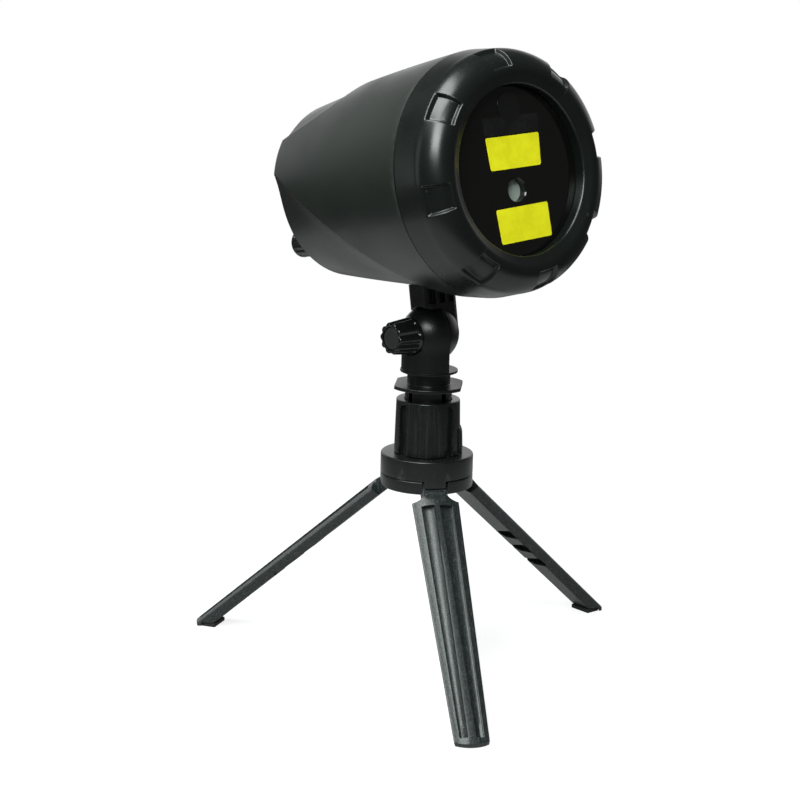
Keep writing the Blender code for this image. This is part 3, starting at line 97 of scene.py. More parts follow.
# %% Camera
LENS_PIXELS = 2000.0            # focal length, in pixels of the picture
PICTURE = 800                   # pixels along one side
SENSOR = 36.0                   # mm
CAMERA_DISTANCE = 998 * MM
CAMERA_TURN = radians(-41.1)
CAMERA_PITCH = radians(12.73)
CAMERA_ROLL = radians(1.24)
CAMERA_RIGHT, CAMERA_UP = -14.0 * MM, 25.3 * MM


def in_scene(name, data):
    """Make an object of this data and put it into the scene."""
    made = bpy.data.objects.new(name, data)
    bpy.context.scene.collection.objects.link(made)
    return made


spin_round = Matrix.Rotation(CAMERA_TURN, 3, "Z")
right = spin_round @ Vector((1, 0, 0))
back = spin_round @ Vector((0, -cos(CAMERA_PITCH), sin(CAMERA_PITCH)))
above = back.cross(right)
eye = (Vector((pivot.x, pivot.y, HUB_TOP)) + back * CAMERA_DISTANCE
       + right * CAMERA_RIGHT + above * CAMERA_UP)
camera_data = bpy.data.cameras.new("camera")
camera_data.lens = LENS_PIXELS / PICTURE * SENSOR
camera_data.sensor_width = SENSOR
camera = in_scene("camera", camera_data)
rolled = Matrix((right, above, back)).transposed() @ Matrix.Rotation(CAMERA_ROLL, 3, "Z")
camera.matrix_world = Matrix.Translation(eye) @ rolled.to_4x4()
bpy.context.scene.camera = camera
print("lens", camera_data.lens, "mm, eye at", [round(value, 3) for value in eye])

# %% [markdown]
# Shaders are built from nodes, and a few helpers keep that readable. `node` adds one and `feed`
# sets it up: a setting with a small first letter is a property, one with a capital is an input,
# and an input takes a plain value or a socket of another node. The others make the noises,
# ranges and sums that most effects need.

# %% Node helpers
def feed(made, **settings):
    """Set a node's properties and inputs; _0 and _1 are inputs by number."""
    for key, value in settings.items():
        if key[0].islower():
            setattr(made, key, value)
            continue
        socket = made.inputs[int(key[1:]) if key[0] == "_" else key.replace("_", " ")]
        if isinstance(value, bpy.types.NodeSocket):
            made.id_data.links.new(value, socket)
        else:
            socket.default_value = value
    return made


def node(tree, kind, **settings):
    """Add a node and set it up."""
    return feed(tree.nodes.new(f"ShaderNode{kind}"), **settings)


def group(name, inputs, outputs):
    """A shader group of float sockets: its tree, what comes in and the node that puts out."""
    tree = bpy.data.node_groups.new(name, "ShaderNodeTree")
    for title, value in inputs.items():
        socket = tree.interface.new_socket(title, in_out="INPUT", socket_type="NodeSocketFloat")
        socket.default_value = value
    for title in outputs:
        tree.interface.new_socket(title, in_out="OUTPUT", socket_type="NodeSocketFloat")
    return tree, tree.nodes.new("NodeGroupInput").outputs, tree.nodes.new("NodeGroupOutput")


def noise(tree, scale, detail=4.0, roughness=0.55, stretch=(1, 1, 1)):
    """Noise on the object's own coordinates."""
    place = node(tree, "Mapping", Vector=node(tree, "TexCoord").outputs["Object"], Scale=stretch)
    return node(tree, "TexNoise", Vector=place.outputs["Vector"], Scale=scale, Detail=detail,
                Roughness=roughness).outputs["Fac"]


def ramp(tree, value, low, high):
    """Clamp a value to 0..1 between two levels."""
    return node(tree, "MapRange", Value=value, From_Min=low, From_Max=high).outputs["Result"]


def between(tree, value, low, high):
    """Spread a value of 0..1 between two levels."""
    return node(tree, "MapRange", Value=value, To_Min=low, To_Max=high).outputs["Result"]


def combined(tree, operation, first, second):
    """Two sockets, or a socket and a number, in one sum."""
    return node(tree, "Math", operation=operation, _0=first, _1=second).outputs[0]


def product(tree, first, second):
    return combined(tree, "MULTIPLY", first, second)


def mixed(tree, mask, first, second):
    """One colour over another where the mask is 1."""
    return node(tree, "Mix", data_type="RGBA", Factor=mask, A=first, B=second).outputs["Result"]


def bumped(tree, height, depth):
    """A normal that follows a height; depth is in millimetres."""
    return node(tree, "Bump", Strength=1.0, Distance=depth * MM, Height=height).outputs["Normal"]


# %% [markdown]
# Black plastic is drawn by what it mirrors, so the lamps are few, large and soft.
# The key panel hangs high on the left: its edge stands just past the zenith, so whatever leans
# left shines and whatever leans right falls dark. A panel over the camera lights the stickers,
# a narrow one on the left draws edges, and nothing stands on the right.

# %% Lamps
bpy.context.scene.view_settings.view_transform = "Standard"
MIDDLE = Vector((pivot.x, pivot.y, 190 * MM))       # what the lamps are aimed at
DAYLIGHT = (0.93, 1.0, 0.97)
LAMPS = {                       # name: (turn from the camera, height, distance, width, depth, watts)
    "key_panel": (-57, 66, 0.95, 0.70, 0.55, 12.0),
    "front_panel": (-12, 38, 1.25, 0.60, 0.50, 14.0),
    "left_panel": (-80, 12, 1.20, 0.25, 0.80, 0.5),
}
for name, (turn, height, distance, wide, tall, watts) in LAMPS.items():
    lamp_data = bpy.data.lights.new(name, "AREA")
    lamp_data.shape = "RECTANGLE"
    lamp_data.size = wide
    lamp_data.size_y = tall
    lamp_data.energy = watts
    lamp_data.color = DAYLIGHT
    bearing, rise = CAMERA_TURN + radians(turn), radians(height)
    direction = Vector((sin(bearing) * cos(rise), -cos(bearing) * cos(rise), sin(rise)))
    lamp = in_scene(name, lamp_data)
    lamp.location = MIDDLE + direction * distance
    lamp.rotation_euler = direction.to_track_quat("Z", "Y").to_euler()
    print(name, "at", [round(value, 2) for value in lamp.location], "with", watts, "W")

# %% [markdown]
# The world is white for the camera and through glass, and a dim grey for the light that falls
# on the object. A reflection sees a low white wall behind the object and the dim grey
# elsewhere, and that wall puts the bright line along the top of the barrel.

# %% World shader
AMBIENT = 0.08
WALL_FROM, WALL_TO = 0.35, 0.70     # how far a ray must head away from the camera
WALL_TOP, WALL_FOOT = 0.50, -0.05   # sines of the angles at which the wall has faded out
world = bpy.data.worlds.new("studio")
world.use_nodes = True
bpy.context.scene.world = world
sky = world.node_tree
sky.nodes.clear()
rays = node(sky, "LightPath").outputs
heading = node(sky, "TexCoord").outputs["Generated"]
away = node(sky, "VectorMath", operation="DOT_PRODUCT", _0=heading,
            _1=(-sin(CAMERA_TURN), cos(CAMERA_TURN), 0)).outputs["Value"]
rising = node(sky, "SeparateXYZ", _0=heading).outputs["Z"]
wall = product(sky, ramp(sky, away, WALL_FROM, WALL_TO), ramp(sky, rising, WALL_TOP, WALL_TOP / 2))
wall = product(sky, wall, ramp(sky, rising, WALL_FOOT, 0.0))
white = combined(sky, "MAXIMUM", rays["Is Camera Ray"], rays["Is Transmission Ray"])
white = combined(sky, "MAXIMUM", white, product(sky, wall, rays["Is Glossy Ray"]))
strength = node(sky, "Mix", Factor=white, A=AMBIENT, B=1.0).outputs["Result"]
sky_light = node(sky, "Background", Color=(1, 1, 1, 1), Strength=strength)
node(sky, "OutputWorld", Surface=sky_light.outputs[0])
print("world of", len(sky.nodes), "nodes, at", AMBIENT, "of white")

# %% [markdown]
# Effects that several finishes share are node groups with named sockets.
# "mould grain" is the fine tooth that spark erosion leaves in a steel mould: a crisp noise for
# the pits, a softer one for the flow of the plastic, and the flecks of glass that fill it.

# %% The mould grain group
grain_tree, grain_in, grain_out = group("mould grain", {"Scale": 1.0}, ("Height", "Fleck", "Pits"))
sized = node(grain_tree, "VectorMath", operation="SCALE", Scale=grain_in["Scale"],
             _0=node(grain_tree, "TexCoord").outputs["Object"]).outputs["Vector"]
pits = node(grain_tree, "TexNoise", Vector=sized, Scale=2600.0, Detail=3.0,
            Roughness=0.6).outputs["Fac"]
flow = node(grain_tree, "TexNoise", Vector=sized, Scale=520.0, Detail=2.0,
            Roughness=0.5).outputs["Fac"]
glints = node(grain_tree, "TexVoronoi", feature="F1", Vector=sized, Scale=1900.0)
feed(grain_out,
     Height=node(grain_tree, "Mix", Factor=0.35, A=pits, B=flow).outputs["Result"],
     Pits=ramp(grain_tree, pits, 0.48, 0.60),
     Fleck=product(grain_tree, ramp(grain_tree, glints.outputs["Distance"], 0.26, 0.10),
                   ramp(grain_tree, flow, 0.42, 0.62)))
print(grain_tree.name, "has", len(grain_tree.nodes), "nodes")

# %% [markdown]
# "handling_and_edge_highlight" is what use does to any surface, plus a painted highlight. It
# finds the edges, where Pointiness is high, and lightens them: partly the brightness that hands
# rub into them and partly a painted highlight along each edge. It adds broad smudges, and lets
# dust settle on whatever faces up.

# %% The handling and edge highlight group
handling_highlight_tree, handling_highlight_in, handling_highlight_out = group("handling_and_edge_highlight", {"Edge Start": 0.53}, ("Edge", "Smudge", "Dust"))
surface = node(handling_highlight_tree, "NewGeometry").outputs
edge = combined(handling_highlight_tree, "SUBTRACT", surface["Pointiness"], handling_highlight_in["Edge Start"])
facing = node(handling_highlight_tree, "SeparateXYZ", _0=surface["Normal"]).outputs["Z"]
feed(handling_highlight_out,
     # Edge: lighter along pointed edges, partly rubbed wear and partly a painted highlight
     Edge=product(handling_highlight_tree, ramp(handling_highlight_tree, edge, 0.0, 0.08),
                  ramp(handling_highlight_tree, noise(handling_highlight_tree, 140.0, 5.0, 0.65), 0.40, 0.66)),
     Smudge=ramp(handling_highlight_tree, noise(handling_highlight_tree, 34.0, 3.0, 0.5), 0.30, 0.72),
     Dust=product(handling_highlight_tree, ramp(handling_highlight_tree, facing, 0.35, 1.0),
                  ramp(handling_highlight_tree, noise(handling_highlight_tree, 900.0, 4.0, 0.7), 0.56, 0.72)))
print(handling_highlight_tree.name, "has", len(handling_highlight_tree.nodes), "nodes")

# %% [markdown]
# A finish is one Principled shader fed by those groups.
# Every plastic here is the same recipe with its own numbers: how dark, how rough, how deep the
# grain is, how many glittering flecks of glass it holds, and how strongly its edges are lightened,
# which is partly wear and partly a painted highlight.

# %% The recipe for moulded plastic
FLECK, DUST = (0.34, 0.37, 0.37), (0.30, 0.29, 0.27)
SMUDGED = 0.22                  # how strongly a smudge shows


def new_material(name):
    """A material, its node tree and its Principled shader."""
    made = bpy.data.materials.new(name)
    made.use_nodes = True
    return made, made.node_tree, made.node_tree.nodes["Principled BSDF"]


def tinted(colour, gain, lift=0.0):
    return tuple(channel * gain + lift for channel in colour)


def finish(name, colour, roughness, grain=1.0, depth=0.02, flecks=0.0, edge_wear_and_highlight=0.25, dust=0.10,
           patchy=0.12, speckle=0.0, streaks=0.0):
    """A moulded or rubber finish; streaks are drawn down the Z axis, and the edges get wear with a
    painted highlight.
    """
    made, tree, shader = new_material(name)
    grains = node(tree, "Group", node_tree=grain_tree, Scale=grain).outputs
    handling_and_highlight = node(tree, "Group", node_tree=handling_highlight_tree).outputs
    light = tinted(colour, 2.4, 0.02)
    layers = [
        (handling_and_highlight["Smudge"], SMUDGED, tinted(colour, 1.35)),
        (grains["Fleck"], flecks, FLECK),
        # Edge lightens pointed edges: partly rubbed wear and partly a painted highlight.
        (handling_and_highlight["Edge"], edge_wear_and_highlight, tinted(colour, 3, 0.07)),
        (handling_and_highlight["Dust"], dust, DUST),
    ]
    if speckle:
        layers.append((grains["Pits"], speckle, light))
    if streaks:
        drawn = ramp(tree, noise(tree, 900.0, 3.0, 0.6, (1, 1, 0.04)), 0.48, 0.70)
        layers.append((drawn, streaks, light))
    shade = (*colour, 1)
    for mask, amount, tint in layers:
        shade = mixed(tree, product(tree, mask, amount), shade, (*tint, 1))
    feed(shader, Base_Color=shade, Normal=bumped(tree, grains["Height"], depth),
         Roughness=between(tree, handling_and_highlight["Smudge"], roughness - patchy / 2, roughness + patchy / 2))
    return made


BARREL_BLACK = finish("satin barrel black", (0.009, 0.012, 0.010), 0.36, 1.0, 0.005)
RING_BLACK = finish("satin ring black", (0.0045, 0.0062, 0.0055), 0.29, 1.0, 0.003, edge_wear_and_highlight=0.35,
                    dust=0.05)
PANEL_BLACK = finish("polished panel black", (0.004, 0.004, 0.0035), 0.10, 0.4, 0.0006, edge_wear_and_highlight=0.0,
                     dust=0.03, patchy=0.05)
KNUCKLE_BLACK = finish("knuckle black", (0.003, 0.004, 0.0035), 0.33, 1.0, 0.004, dust=0.05)
KNOB_BLACK = finish("knob black", (0.004, 0.005, 0.0045), 0.20, 0.6, 0.003, edge_wear_and_highlight=0.35, dust=0.05)
CAP_BLACK = finish("knob cap black", (0.011, 0.013, 0.012), 0.52, 1.2, 0.015)
STAND_BLACK = finish("glass filled stand black", (0.006, 0.009, 0.009), 0.34, 0.50, 0.130, 0.6,
                     edge_wear_and_highlight=0.80, patchy=0.02, speckle=1.0)
HUB_BLACK = finish("hub black", (0.005, 0.0065, 0.006), 0.25, 1.0, 0.003, 0.10, edge_wear_and_highlight=0.6)
COLUMN_BLACK = finish("column black", (0.005, 0.0065, 0.006), 0.23, 1.0, 0.003, 0.05, edge_wear_and_highlight=0.6,
                      streaks=0.40)
RUBBER = finish("foot rubber", (0.008, 0.008, 0.008), 0.68, 0.7, 0.060, edge_wear_and_highlight=0.5, dust=0.35)
print("materials so far:", len(bpy.data.materials))

# %% [markdown]
# Metal needs a recipe of its own. Zinc-plated steel is brushed by stretching a noise along one
# axis, and the same marks vary its colour, its roughness and its height.

# %% Metals
def metal(name, colour, roughness, stretch, depth=0.004):
    """A metal with tool marks drawn out across the stretched axes."""
    made, tree, shader = new_material(name)
    marks = noise(tree, 900.0, 4.0, 0.6, stretch)
    dull = (*tinted(colour, 0.72), 1)
    feed(shader, Base_Color=mixed(tree, ramp(tree, marks, 0.30, 0.70), dull, (*colour, 1)),
         Roughness=between(tree, marks, roughness * 0.8, roughness * 1.25), Metallic=1.0,
         Normal=bumped(tree, marks, depth))
    return made


STEEL = metal("zinc plated steel", (0.56, 0.56, 0.54), 0.30, (1, 6, 6))
BRASS = metal("turned brass", (0.74, 0.55, 0.26), 0.26, (6, 1, 6))
ALUMINIUM = metal("cast aluminium", (0.60, 0.61, 0.62), 0.42, (1, 1, 1), 0.012)
print("metals:", STEEL.name, BRASS.name, ALUMINIUM.name)

# %% [markdown]
# Glass lets light through, so it keeps a plain transmission and only its roughness varies, as
# wipe marks do. The board's copper shows through its green mask as a grid of tracks, which a
# brick texture draws.

# %% Glass and circuit board
def glass(name, colour, roughness, clear):
    """A coated glass with faint wipe marks."""
    made, tree, shader = new_material(name)
    wipes = noise(tree, 420.0, 4.0, 0.6, (1, 5, 1))
    feed(shader, Base_Color=(*colour, 1), Transmission_Weight=clear, IOR=1.5,
         Roughness=between(tree, wipes, roughness, roughness + 0.08))
    return made


WINDOW_GLASS = glass("window glass", (0.42, 0.49, 0.44), 0.22, 0.10)
OPTIC = glass("coated optic", (0.62, 0.45, 0.66), 0.03, 0.80)
BOARD_GREEN, board_tree, board_shader = new_material("circuit board")
tracks = node(board_tree, "TexBrick", Vector=node(board_tree, "TexCoord").outputs["Object"],
              Scale=260.0, Mortar_Size=0.03, Color1=(0.020, 0.16, 0.055, 1),
              Color2=(0.026, 0.19, 0.070, 1), Mortar=(0.10, 0.30, 0.10, 1))
feed(board_shader, Base_Color=tracks.outputs["Color"], Roughness=0.35)
print("glass and board:", WINDOW_GLASS.name, OPTIC.name, BOARD_GREEN.name)

# %% [markdown]
# A sticker is printed vinyl: flat colour under a clear film, faintly mottled, its edges a touch
# lighter from handling and a painted highlight. All of them are bare, with nothing printed on them.

# %% Sticker vinyl
def vinyl(name, colour, roughness):
    return finish(name, colour, roughness, 0.5, 0.0012, edge_wear_and_highlight=0.10, dust=0.02, patchy=0.08)


YELLOW_VINYL = vinyl("yellow vinyl", (0.92, 0.87, 0.010), 0.36)
BLACK_VINYL = vinyl("black vinyl", (0.006, 0.006, 0.006), 0.22)
print("vinyls:", YELLOW_VINYL.name, BLACK_VINYL.name)

# %% [markdown]
# Almost every piece starts as a line that is spun or wrapped round an axis.
# `turned` spins a profile. `wrapped` spins a plain line into a tube and then moves each corner
# to the place that a small function gives for its row and column, which makes flutes, notches
# and creases without a single cut. `carve` is kept for holes and slots. Sizes are in millimetres
# throughout, and a helper turns them into metres.

# %% Modelling helpers
PAST = 40                       # far enough out for a cut to run right through
MERGE = 1e-7
LEAN = {                        # lays what stands along Z along another axis
    "X": Matrix.Rotation(pi / 2, 4, "Y"), "Y": Matrix.Rotation(pi / 2, 4, "X"),
    "Z": Matrix.Identity(4)}


def tidy(shape):
    """Merge corners that meet and turn every face outwards."""
    bmesh.ops.remove_doubles(shape, verts=shape.verts, dist=MERGE)
    bmesh.ops.recalc_face_normals(shape, faces=shape.faces)
    return shape


def shift(x, y, z=0.0):
    return Matrix.Translation((x * MM, y * MM, z * MM))


def moved(shape, place):
    """Carry a shape to its place."""
    bmesh.ops.transform(shape, matrix=place, verts=shape.verts)
    return shape


def spun_line(points, steps):
    """Spin a chain of points once round Z."""
    shape = bmesh.new()
    corners = [shape.verts.new(point) for point in points]
    edges = [shape.edges.new(pair) for pair in zip(corners, corners[1:])]
    bmesh.ops.spin(shape, geom=corners + edges, cent=(0, 0, 0), axis=(0, 0, 1), angle=2 * pi,
                   steps=steps, use_merge=True)
    return shape


def turned(points, steps=144):
    """Spin a profile of radius and height round Z."""
    return tidy(spun_line([(radius * MM, 0, height * MM) for radius, height in points], steps))


def rod(radius, low, high, across=(0, 0), sides=48, lean="Z"):
    """A cylinder along an axis; across is its place in X and Y."""
    shape = turned([(0, low), (radius, low), (radius, high), (0, high)], sides)
    return moved(shape, shift(*across) @ LEAN[lean])


def wrapped(rows, columns, place_of):
    """Wrap rows of corners round Z and move each to place_of(row, column)."""
    shape = spun_line([(1, 0, row) for row in range(rows)], columns)
    for corner in shape.verts:
        column = round(atan2(corner.co.y, corner.co.x) / (2 * pi) * columns) % columns
        corner.co = Vector(place_of(round(corner.co.z), column)) * MM
    return tidy(shape)


def rounded(points, radius, steps=3):
    """A profile with its inner corners rounded off, as far as their neighbours allow."""
    made = [points[0]]
    for before, corner, after in zip(points, points[1:], points[2:]):
        here = Vector(corner)
        arms = [Vector(before) - here, Vector(after) - here]
        reach = min(radius, *(arm.length * 0.45 for arm in arms))
        ends = [here + arm.normalized() * reach for arm in arms]
        for step in range(steps + 1):
            share = step / steps
            curve = (ends[0] * (1 - share) ** 2 + here * 2 * share * (1 - share)
                     + ends[1] * share ** 2)
            made.append(tuple(curve))
    return made + [points[-1]]


def block(low, high):
    """A box between two corners."""
    shape = bmesh.new()
    low = Vector(low) * MM
    high = Vector(high) * MM
    place = Matrix.Translation((low + high) / 2) @ Matrix.Diagonal((*(high - low), 1))
    bmesh.ops.create_cube(shape, size=1, matrix=place)
    return shape


def plate(outline, low, high, corner=0.0):
    """A flat outline in X and Y, raised from low to high; its corners may be rounded."""
    shape = bmesh.new()
    face = shape.faces.new([shape.verts.new((x * MM, y * MM, low * MM)) for x, y in outline])
    if corner:
        bmesh.ops.bevel(shape, geom=list(face.verts), offset=corner * MM, offset_type="OFFSET",
                        segments=5, profile=0.5, affect="VERTICES", material=-1)
    grown = bmesh.ops.extrude_face_region(shape, geom=shape.faces[:])
    raised = [item for item in grown["geom"] if isinstance(item, bmesh.types.BMVert)]
    bmesh.ops.translate(shape, verts=raised, vec=(0, 0, (high - low) * MM))
    return tidy(shape)


def around(count, make, first=0.0):
    """Make a shape several times and turn the copies evenly round Z."""
    return [moved(make(), Matrix.Rotation(first + 2 * pi / count * number, 4, "Z"))
            for number in range(count)]


def round_edges(shape, width, segments=3, angle=30):
    """Bevel the edges that turn by more than the angle."""
    sharp = [edge for edge in shape.edges
             if len(edge.link_faces) == 2 and edge.calc_face_angle() > radians(angle)]
    bmesh.ops.bevel(shape, geom=sharp, offset=width * MM, offset_type="OFFSET",
                    segments=segments, profile=0.5, affect="EDGES", material=-1,
                    clamp_overlap=True)
    return shape


def mesh_of(name, shape):
    """Turn a shape into a mesh, which uses it up."""
    mesh = bpy.data.meshes.new(name)
    shape.to_mesh(mesh)
    shape.free()
    return mesh


def carve(shape, *tools, operation="DIFFERENCE"):
    """Cut a shape with one tool after another, or join them to it; all are used up."""
    for tool in tools:
        meshes = [mesh_of("carving", source) for source in (shape, tool)]
        blank, cutter = [in_scene("carving", mesh) for mesh in meshes]
        step = blank.modifiers.new("carve", "BOOLEAN")
        step.object = cutter
        step.operation = operation
        step.solver = "EXACT"
        depsgraph = bpy.context.evaluated_depsgraph_get()
        meshes.append(bpy.data.meshes.new_from_object(blank.evaluated_get(depsgraph)))
        shape = bmesh.new()
        shape.from_mesh(meshes[-1])
        for item in (blank, cutter):
            bpy.data.objects.remove(item)
        for mesh in meshes:
            bpy.data.meshes.remove(mesh)
    return shape


def place_piece(name, shape, place, body, look, stands_for=(), sharp=32):
    """Turn a shape into a finished piece that rides on its body."""
    mesh = mesh_of(name, moved(shape, place))
    mesh.materials.append(look)
    mesh.shade_smooth()
    mesh.set_sharp_from_angle(angle=radians(sharp))
    made = in_scene(name, mesh)
    flatten = made.modifiers.new("flatten", "WEIGHTED_NORMAL")
    flatten.keep_sharp = True
    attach(made, body)
    if stands_for:
        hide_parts(*stands_for)
    print(f"{name}: {len(mesh.polygons)} faces on {body}")
    return made


# %% [markdown]
# The barrel is one moulding: a long taper with a crease that runs down each side and swoops up
# over the tail. The part behind the crease drops below the taper, so the crease catches light.
# Rows of corners are gathered along the crease, because a sharp line that cuts across a grid
# would otherwise look like a staircase.

# %% Barrel outline
RIM = 75.4                      # recess rim ahead of the stem
JUNCTION = 23.2                 # rim back to the barrel's front edge
BARREL_END = 130.0
FRONT_RADIUS, REAR_RADIUS, BELLY = 58.3, 46.8, 1.1
PETAL_LOW, PETAL_HIGH, PETAL_END = 0.226, 0.585, 128.0
TONGUE_TIP, BELLY_TIP = 86.0, 36.0
WALL, FIT = 2.5, 0.3
REAR_FACE = RIM - BARREL_END


def crease_start(height):
    """Depth of the crease at a height, which is the sine of an angle round the barrel."""
    if height >= PETAL_HIGH:
        return TONGUE_TIP + (PETAL_END - TONGUE_TIP) * ((1 - height) / (1 - PETAL_HIGH)) ** 2.2
    if height > PETAL_LOW:
        return PETAL_END
    return BELLY_TIP + (PETAL_END - BELLY_TIP) * (height + 1) / (PETAL_LOW + 1)


def barrel_radius(angle, depth):
    """The taper, less the drop behind the crease."""
    share = (depth - JUNCTION) / (BARREL_END - JUNCTION)
    radius = FRONT_RADIUS + (REAR_RADIUS - FRONT_RADIUS) * share + 4 * BELLY * share * (1 - share)
    beyond = depth - crease_start(sin(angle))
    if beyond <= 0:
        return radius
    lower = 3.4 + 1.9 * abs(cos(angle))
    blend_up = min(max((sin(angle) - PETAL_LOW) / (PETAL_HIGH - PETAL_LOW), 0), 1)
    drop = lower + (2.7 - lower) * blend_up
    return radius - drop * (1 - exp(-beyond / (12.0 - 3.0 * blend_up)))


print("the crease starts", [round(crease_start(height), 1) for height in (-1, 0, 1)], "mm back")

# %% [markdown]
# The shell is one wrapped tube: its rows run over the outside, round the rear edge, across the
# rear wall with its shallow groove and back along the inside to the front.

# %% Barrel shell
BARREL_COLUMNS = 224
AHEAD = 26                      # rows in front of the crease
BEHIND = 30
LIP = 5                         # rows round the rear edge
TAIL = 40                       # rows across the rear wall
OUTSIDE = AHEAD + BEHIND + LIP + TAIL
INSIDE = 24
REAR_EDGE = 1.4
INSIDE_RADIUS = 55.3            # bore at the front
INLET_PLACE, INLET_BORE = (-20.5, -24.5), 4.9
BUTTON_PLACE, BUTTON_BORE = (-7.5, -32.5), 4.5


def barrel_row(row, angle):
    """Depth and radius of a corner; rows run from the front edge to the middle of the tail."""
    crease = crease_start(sin(angle))
    last = BARREL_END - REAR_EDGE
    if row <= AHEAD:
        depth = JUNCTION + FIT + (crease - JUNCTION - FIT) * (row / AHEAD)
        return depth, barrel_radius(angle, depth)
    if row <= AHEAD + BEHIND:
        depth = crease + (last - crease) * ((row - AHEAD) / BEHIND) ** 1.7
        return depth, barrel_radius(angle, depth)
    edge_radius = barrel_radius(angle, last)
    if row <= AHEAD + BEHIND + LIP:
        lean = (row - AHEAD - BEHIND) / LIP * pi / 2
        return last + REAR_EDGE * sin(lean), edge_radius - REAR_EDGE * (1 - cos(lean))
    share = (row - AHEAD - BEHIND - LIP) / TAIL
    groove = 0.5 if 0.10 < share < 0.16 else 0.0
    return BARREL_END - groove, (edge_radius - REAR_EDGE) * (1 - share)


def barrel_corner(row, column):
    angle = 2 * pi * column / BARREL_COLUMNS
    if row <= OUTSIDE:
        depth, radius = barrel_row(row, angle)
        return radius * cos(angle), radius * sin(angle), RIM - depth
    share = (row - OUTSIDE - 1) / INSIDE
    if share <= 0.3:
        radius = (barrel_radius(angle, BARREL_END - WALL) - WALL) * share / 0.3
        return radius * cos(angle), radius * sin(angle), REAR_FACE + WALL
    along = (share - 0.3) / 0.7
    depth = BARREL_END - WALL + (JUNCTION + FIT - BARREL_END + WALL) * along
    radius = min(barrel_radius(angle, max(depth, BELLY_TIP)) - WALL, INSIDE_RADIUS)
    if row == OUTSIDE + INSIDE + 1:
        return barrel_corner(0, column)
    return radius * cos(angle), radius * sin(angle), RIM - depth


barrel = carve(wrapped(OUTSIDE + INSIDE + 2, BARREL_COLUMNS, barrel_corner),
               rod(INLET_BORE, REAR_FACE - 2, REAR_FACE + 2 * WALL, INLET_PLACE),
               rod(BUTTON_BORE, REAR_FACE - 2, REAR_FACE + 2 * WALL, BUTTON_PLACE))
place_piece("barrel_skin", barrel, HEAD, "head", BARREL_BLACK,
            ("barrel_shell",), sharp=40)

# %% [markdown]
# The front ring screws over the barrel like a lens hood. Its lip is rounded, and eight finger
# notches are pressed into the rounding. The columns are gathered at the notches' side walls and
# the rows at their ends, so that each wall is steep but still has a soft edge.

# %% Front ring
CREST, CREST_RADIUS, RECESS = 2.5, 45.5, 39.5
ROUNDING_DEPTH, ROUNDING_RADIUS = 13.5, 57.1
NOTCHES, NOTCH_FIRST, NOTCH_HALF, NOTCH_DEPTH = 8, 10.8, 7.4, 1.9
NOTCH_END, NOTCH_RUN = 12, 9    # degrees round the lip where a notch stops, and its ramp
STEP = 360 / NOTCHES
WALL_ANGLE = 1.3                # degrees over which a notch's side wall falls
WALL_FOOT_ANGLE = 1.6           # degrees from its top to the first plain column
SIDE = RIM + CREST - ROUNDING_DEPTH
FRONT_EDGE = RIM - JUNCTION
SKIRT, THREAD, SEAT, BACK_OPENING = 55.0, 51.0, 45.5, 35.5      # bores behind the panel
PANEL_SEAT, SEAT_END = RIM - 7.3, RIM - 9.9


def smooth(value):
    value = min(max(value, 0.0), 1.0)
    return value * value * (3 - 2 * value)


def spread(stops):
    """Fill in between stops, given as pairs of a value and the number of steps to the next."""
    made = []
    for (value, steps), (following, _) in zip(stops, stops[1:]):
        made += [value + (following - value) * step / steps for step in range(steps)]
    return made


one_notch = spread([(0, 7), (NOTCH_HALF - WALL_ANGLE, 7), (NOTCH_HALF, 3),
                    (NOTCH_HALF + WALL_FOOT_ANGLE, 12),
                    (STEP - NOTCH_HALF - WALL_FOOT_ANGLE, 3), (STEP - NOTCH_HALF, 7),
                    (STEP - NOTCH_HALF + WALL_ANGLE, 7), (STEP, 1)])
ring_angles = [(NOTCH_FIRST + STEP * notch + offset, min(offset, STEP - offset))
               for notch in range(NOTCHES) for offset in one_notch]


def lip(lean):
    """Radius, station and gate on the ring's rounding; the gate lets a notch through."""
    gate = smooth((81 - lean) / 6) * smooth((lean - NOTCH_END) / NOTCH_RUN)
    return (CREST_RADIUS + (ROUNDING_RADIUS - CREST_RADIUS) * cos(radians(lean)),
            SIDE + ROUNDING_DEPTH * sin(radians(lean)), gate, radians(lean))


taper = (FRONT_RADIUS - ROUNDING_RADIUS) / (SIDE - FRONT_EDGE)
ring_rows = [(r, s, 0, 0) for r, s in rounded([
    (RECESS, RIM - 7.2), (RECESS, RIM), (CREST_RADIUS - 1.5, RIM + CREST - 0.3),
    (CREST_RADIUS, RIM + CREST)], 1.0, 4)]
ring_rows += [lip(lean) for lean in spread([
    (86, 2), (81, 8), (74, 14), (NOTCH_END + NOTCH_RUN, 9), (NOTCH_END, 5), (0, 1)])]
for back_off in spread([(0.0, 5), (SIDE - FRONT_EDGE - 0.6, 1)]):
    ring_rows.append((ROUNDING_RADIUS + taper * back_off, SIDE - back_off, 0, 0))
ring_rows += [(r, s, 0, 0) for r, s in rounded([
    (FRONT_RADIUS - 0.04, FRONT_EDGE + 0.6), (FRONT_RADIUS, FRONT_EDGE), (SKIRT, FRONT_EDGE)],
    0.35)]
ring_rows += [(r, s, 0, 0) for r, s in (
    (SKIRT, FRONT_EDGE - 8.2), (THREAD, FRONT_EDGE - 8.2), (THREAD, FRONT_EDGE + 5.7),
    (SEAT, SEAT_END), (BACK_OPENING, SEAT_END), (BACK_OPENING, PANEL_SEAT), (RECESS, PANEL_SEAT))]
ring_rows.append(ring_rows[0])


def ring_corner(row, column):
    radius, station, gate, lean = ring_rows[row]
    angle, offset = ring_angles[column]
    sink = NOTCH_DEPTH * gate * (1 - smooth((offset - NOTCH_HALF + WALL_ANGLE) / WALL_ANGLE))
    reach = radius - sink * cos(lean)
    return (reach * cos(radians(angle)), reach * sin(radians(angle)), station - sink * sin(lean))


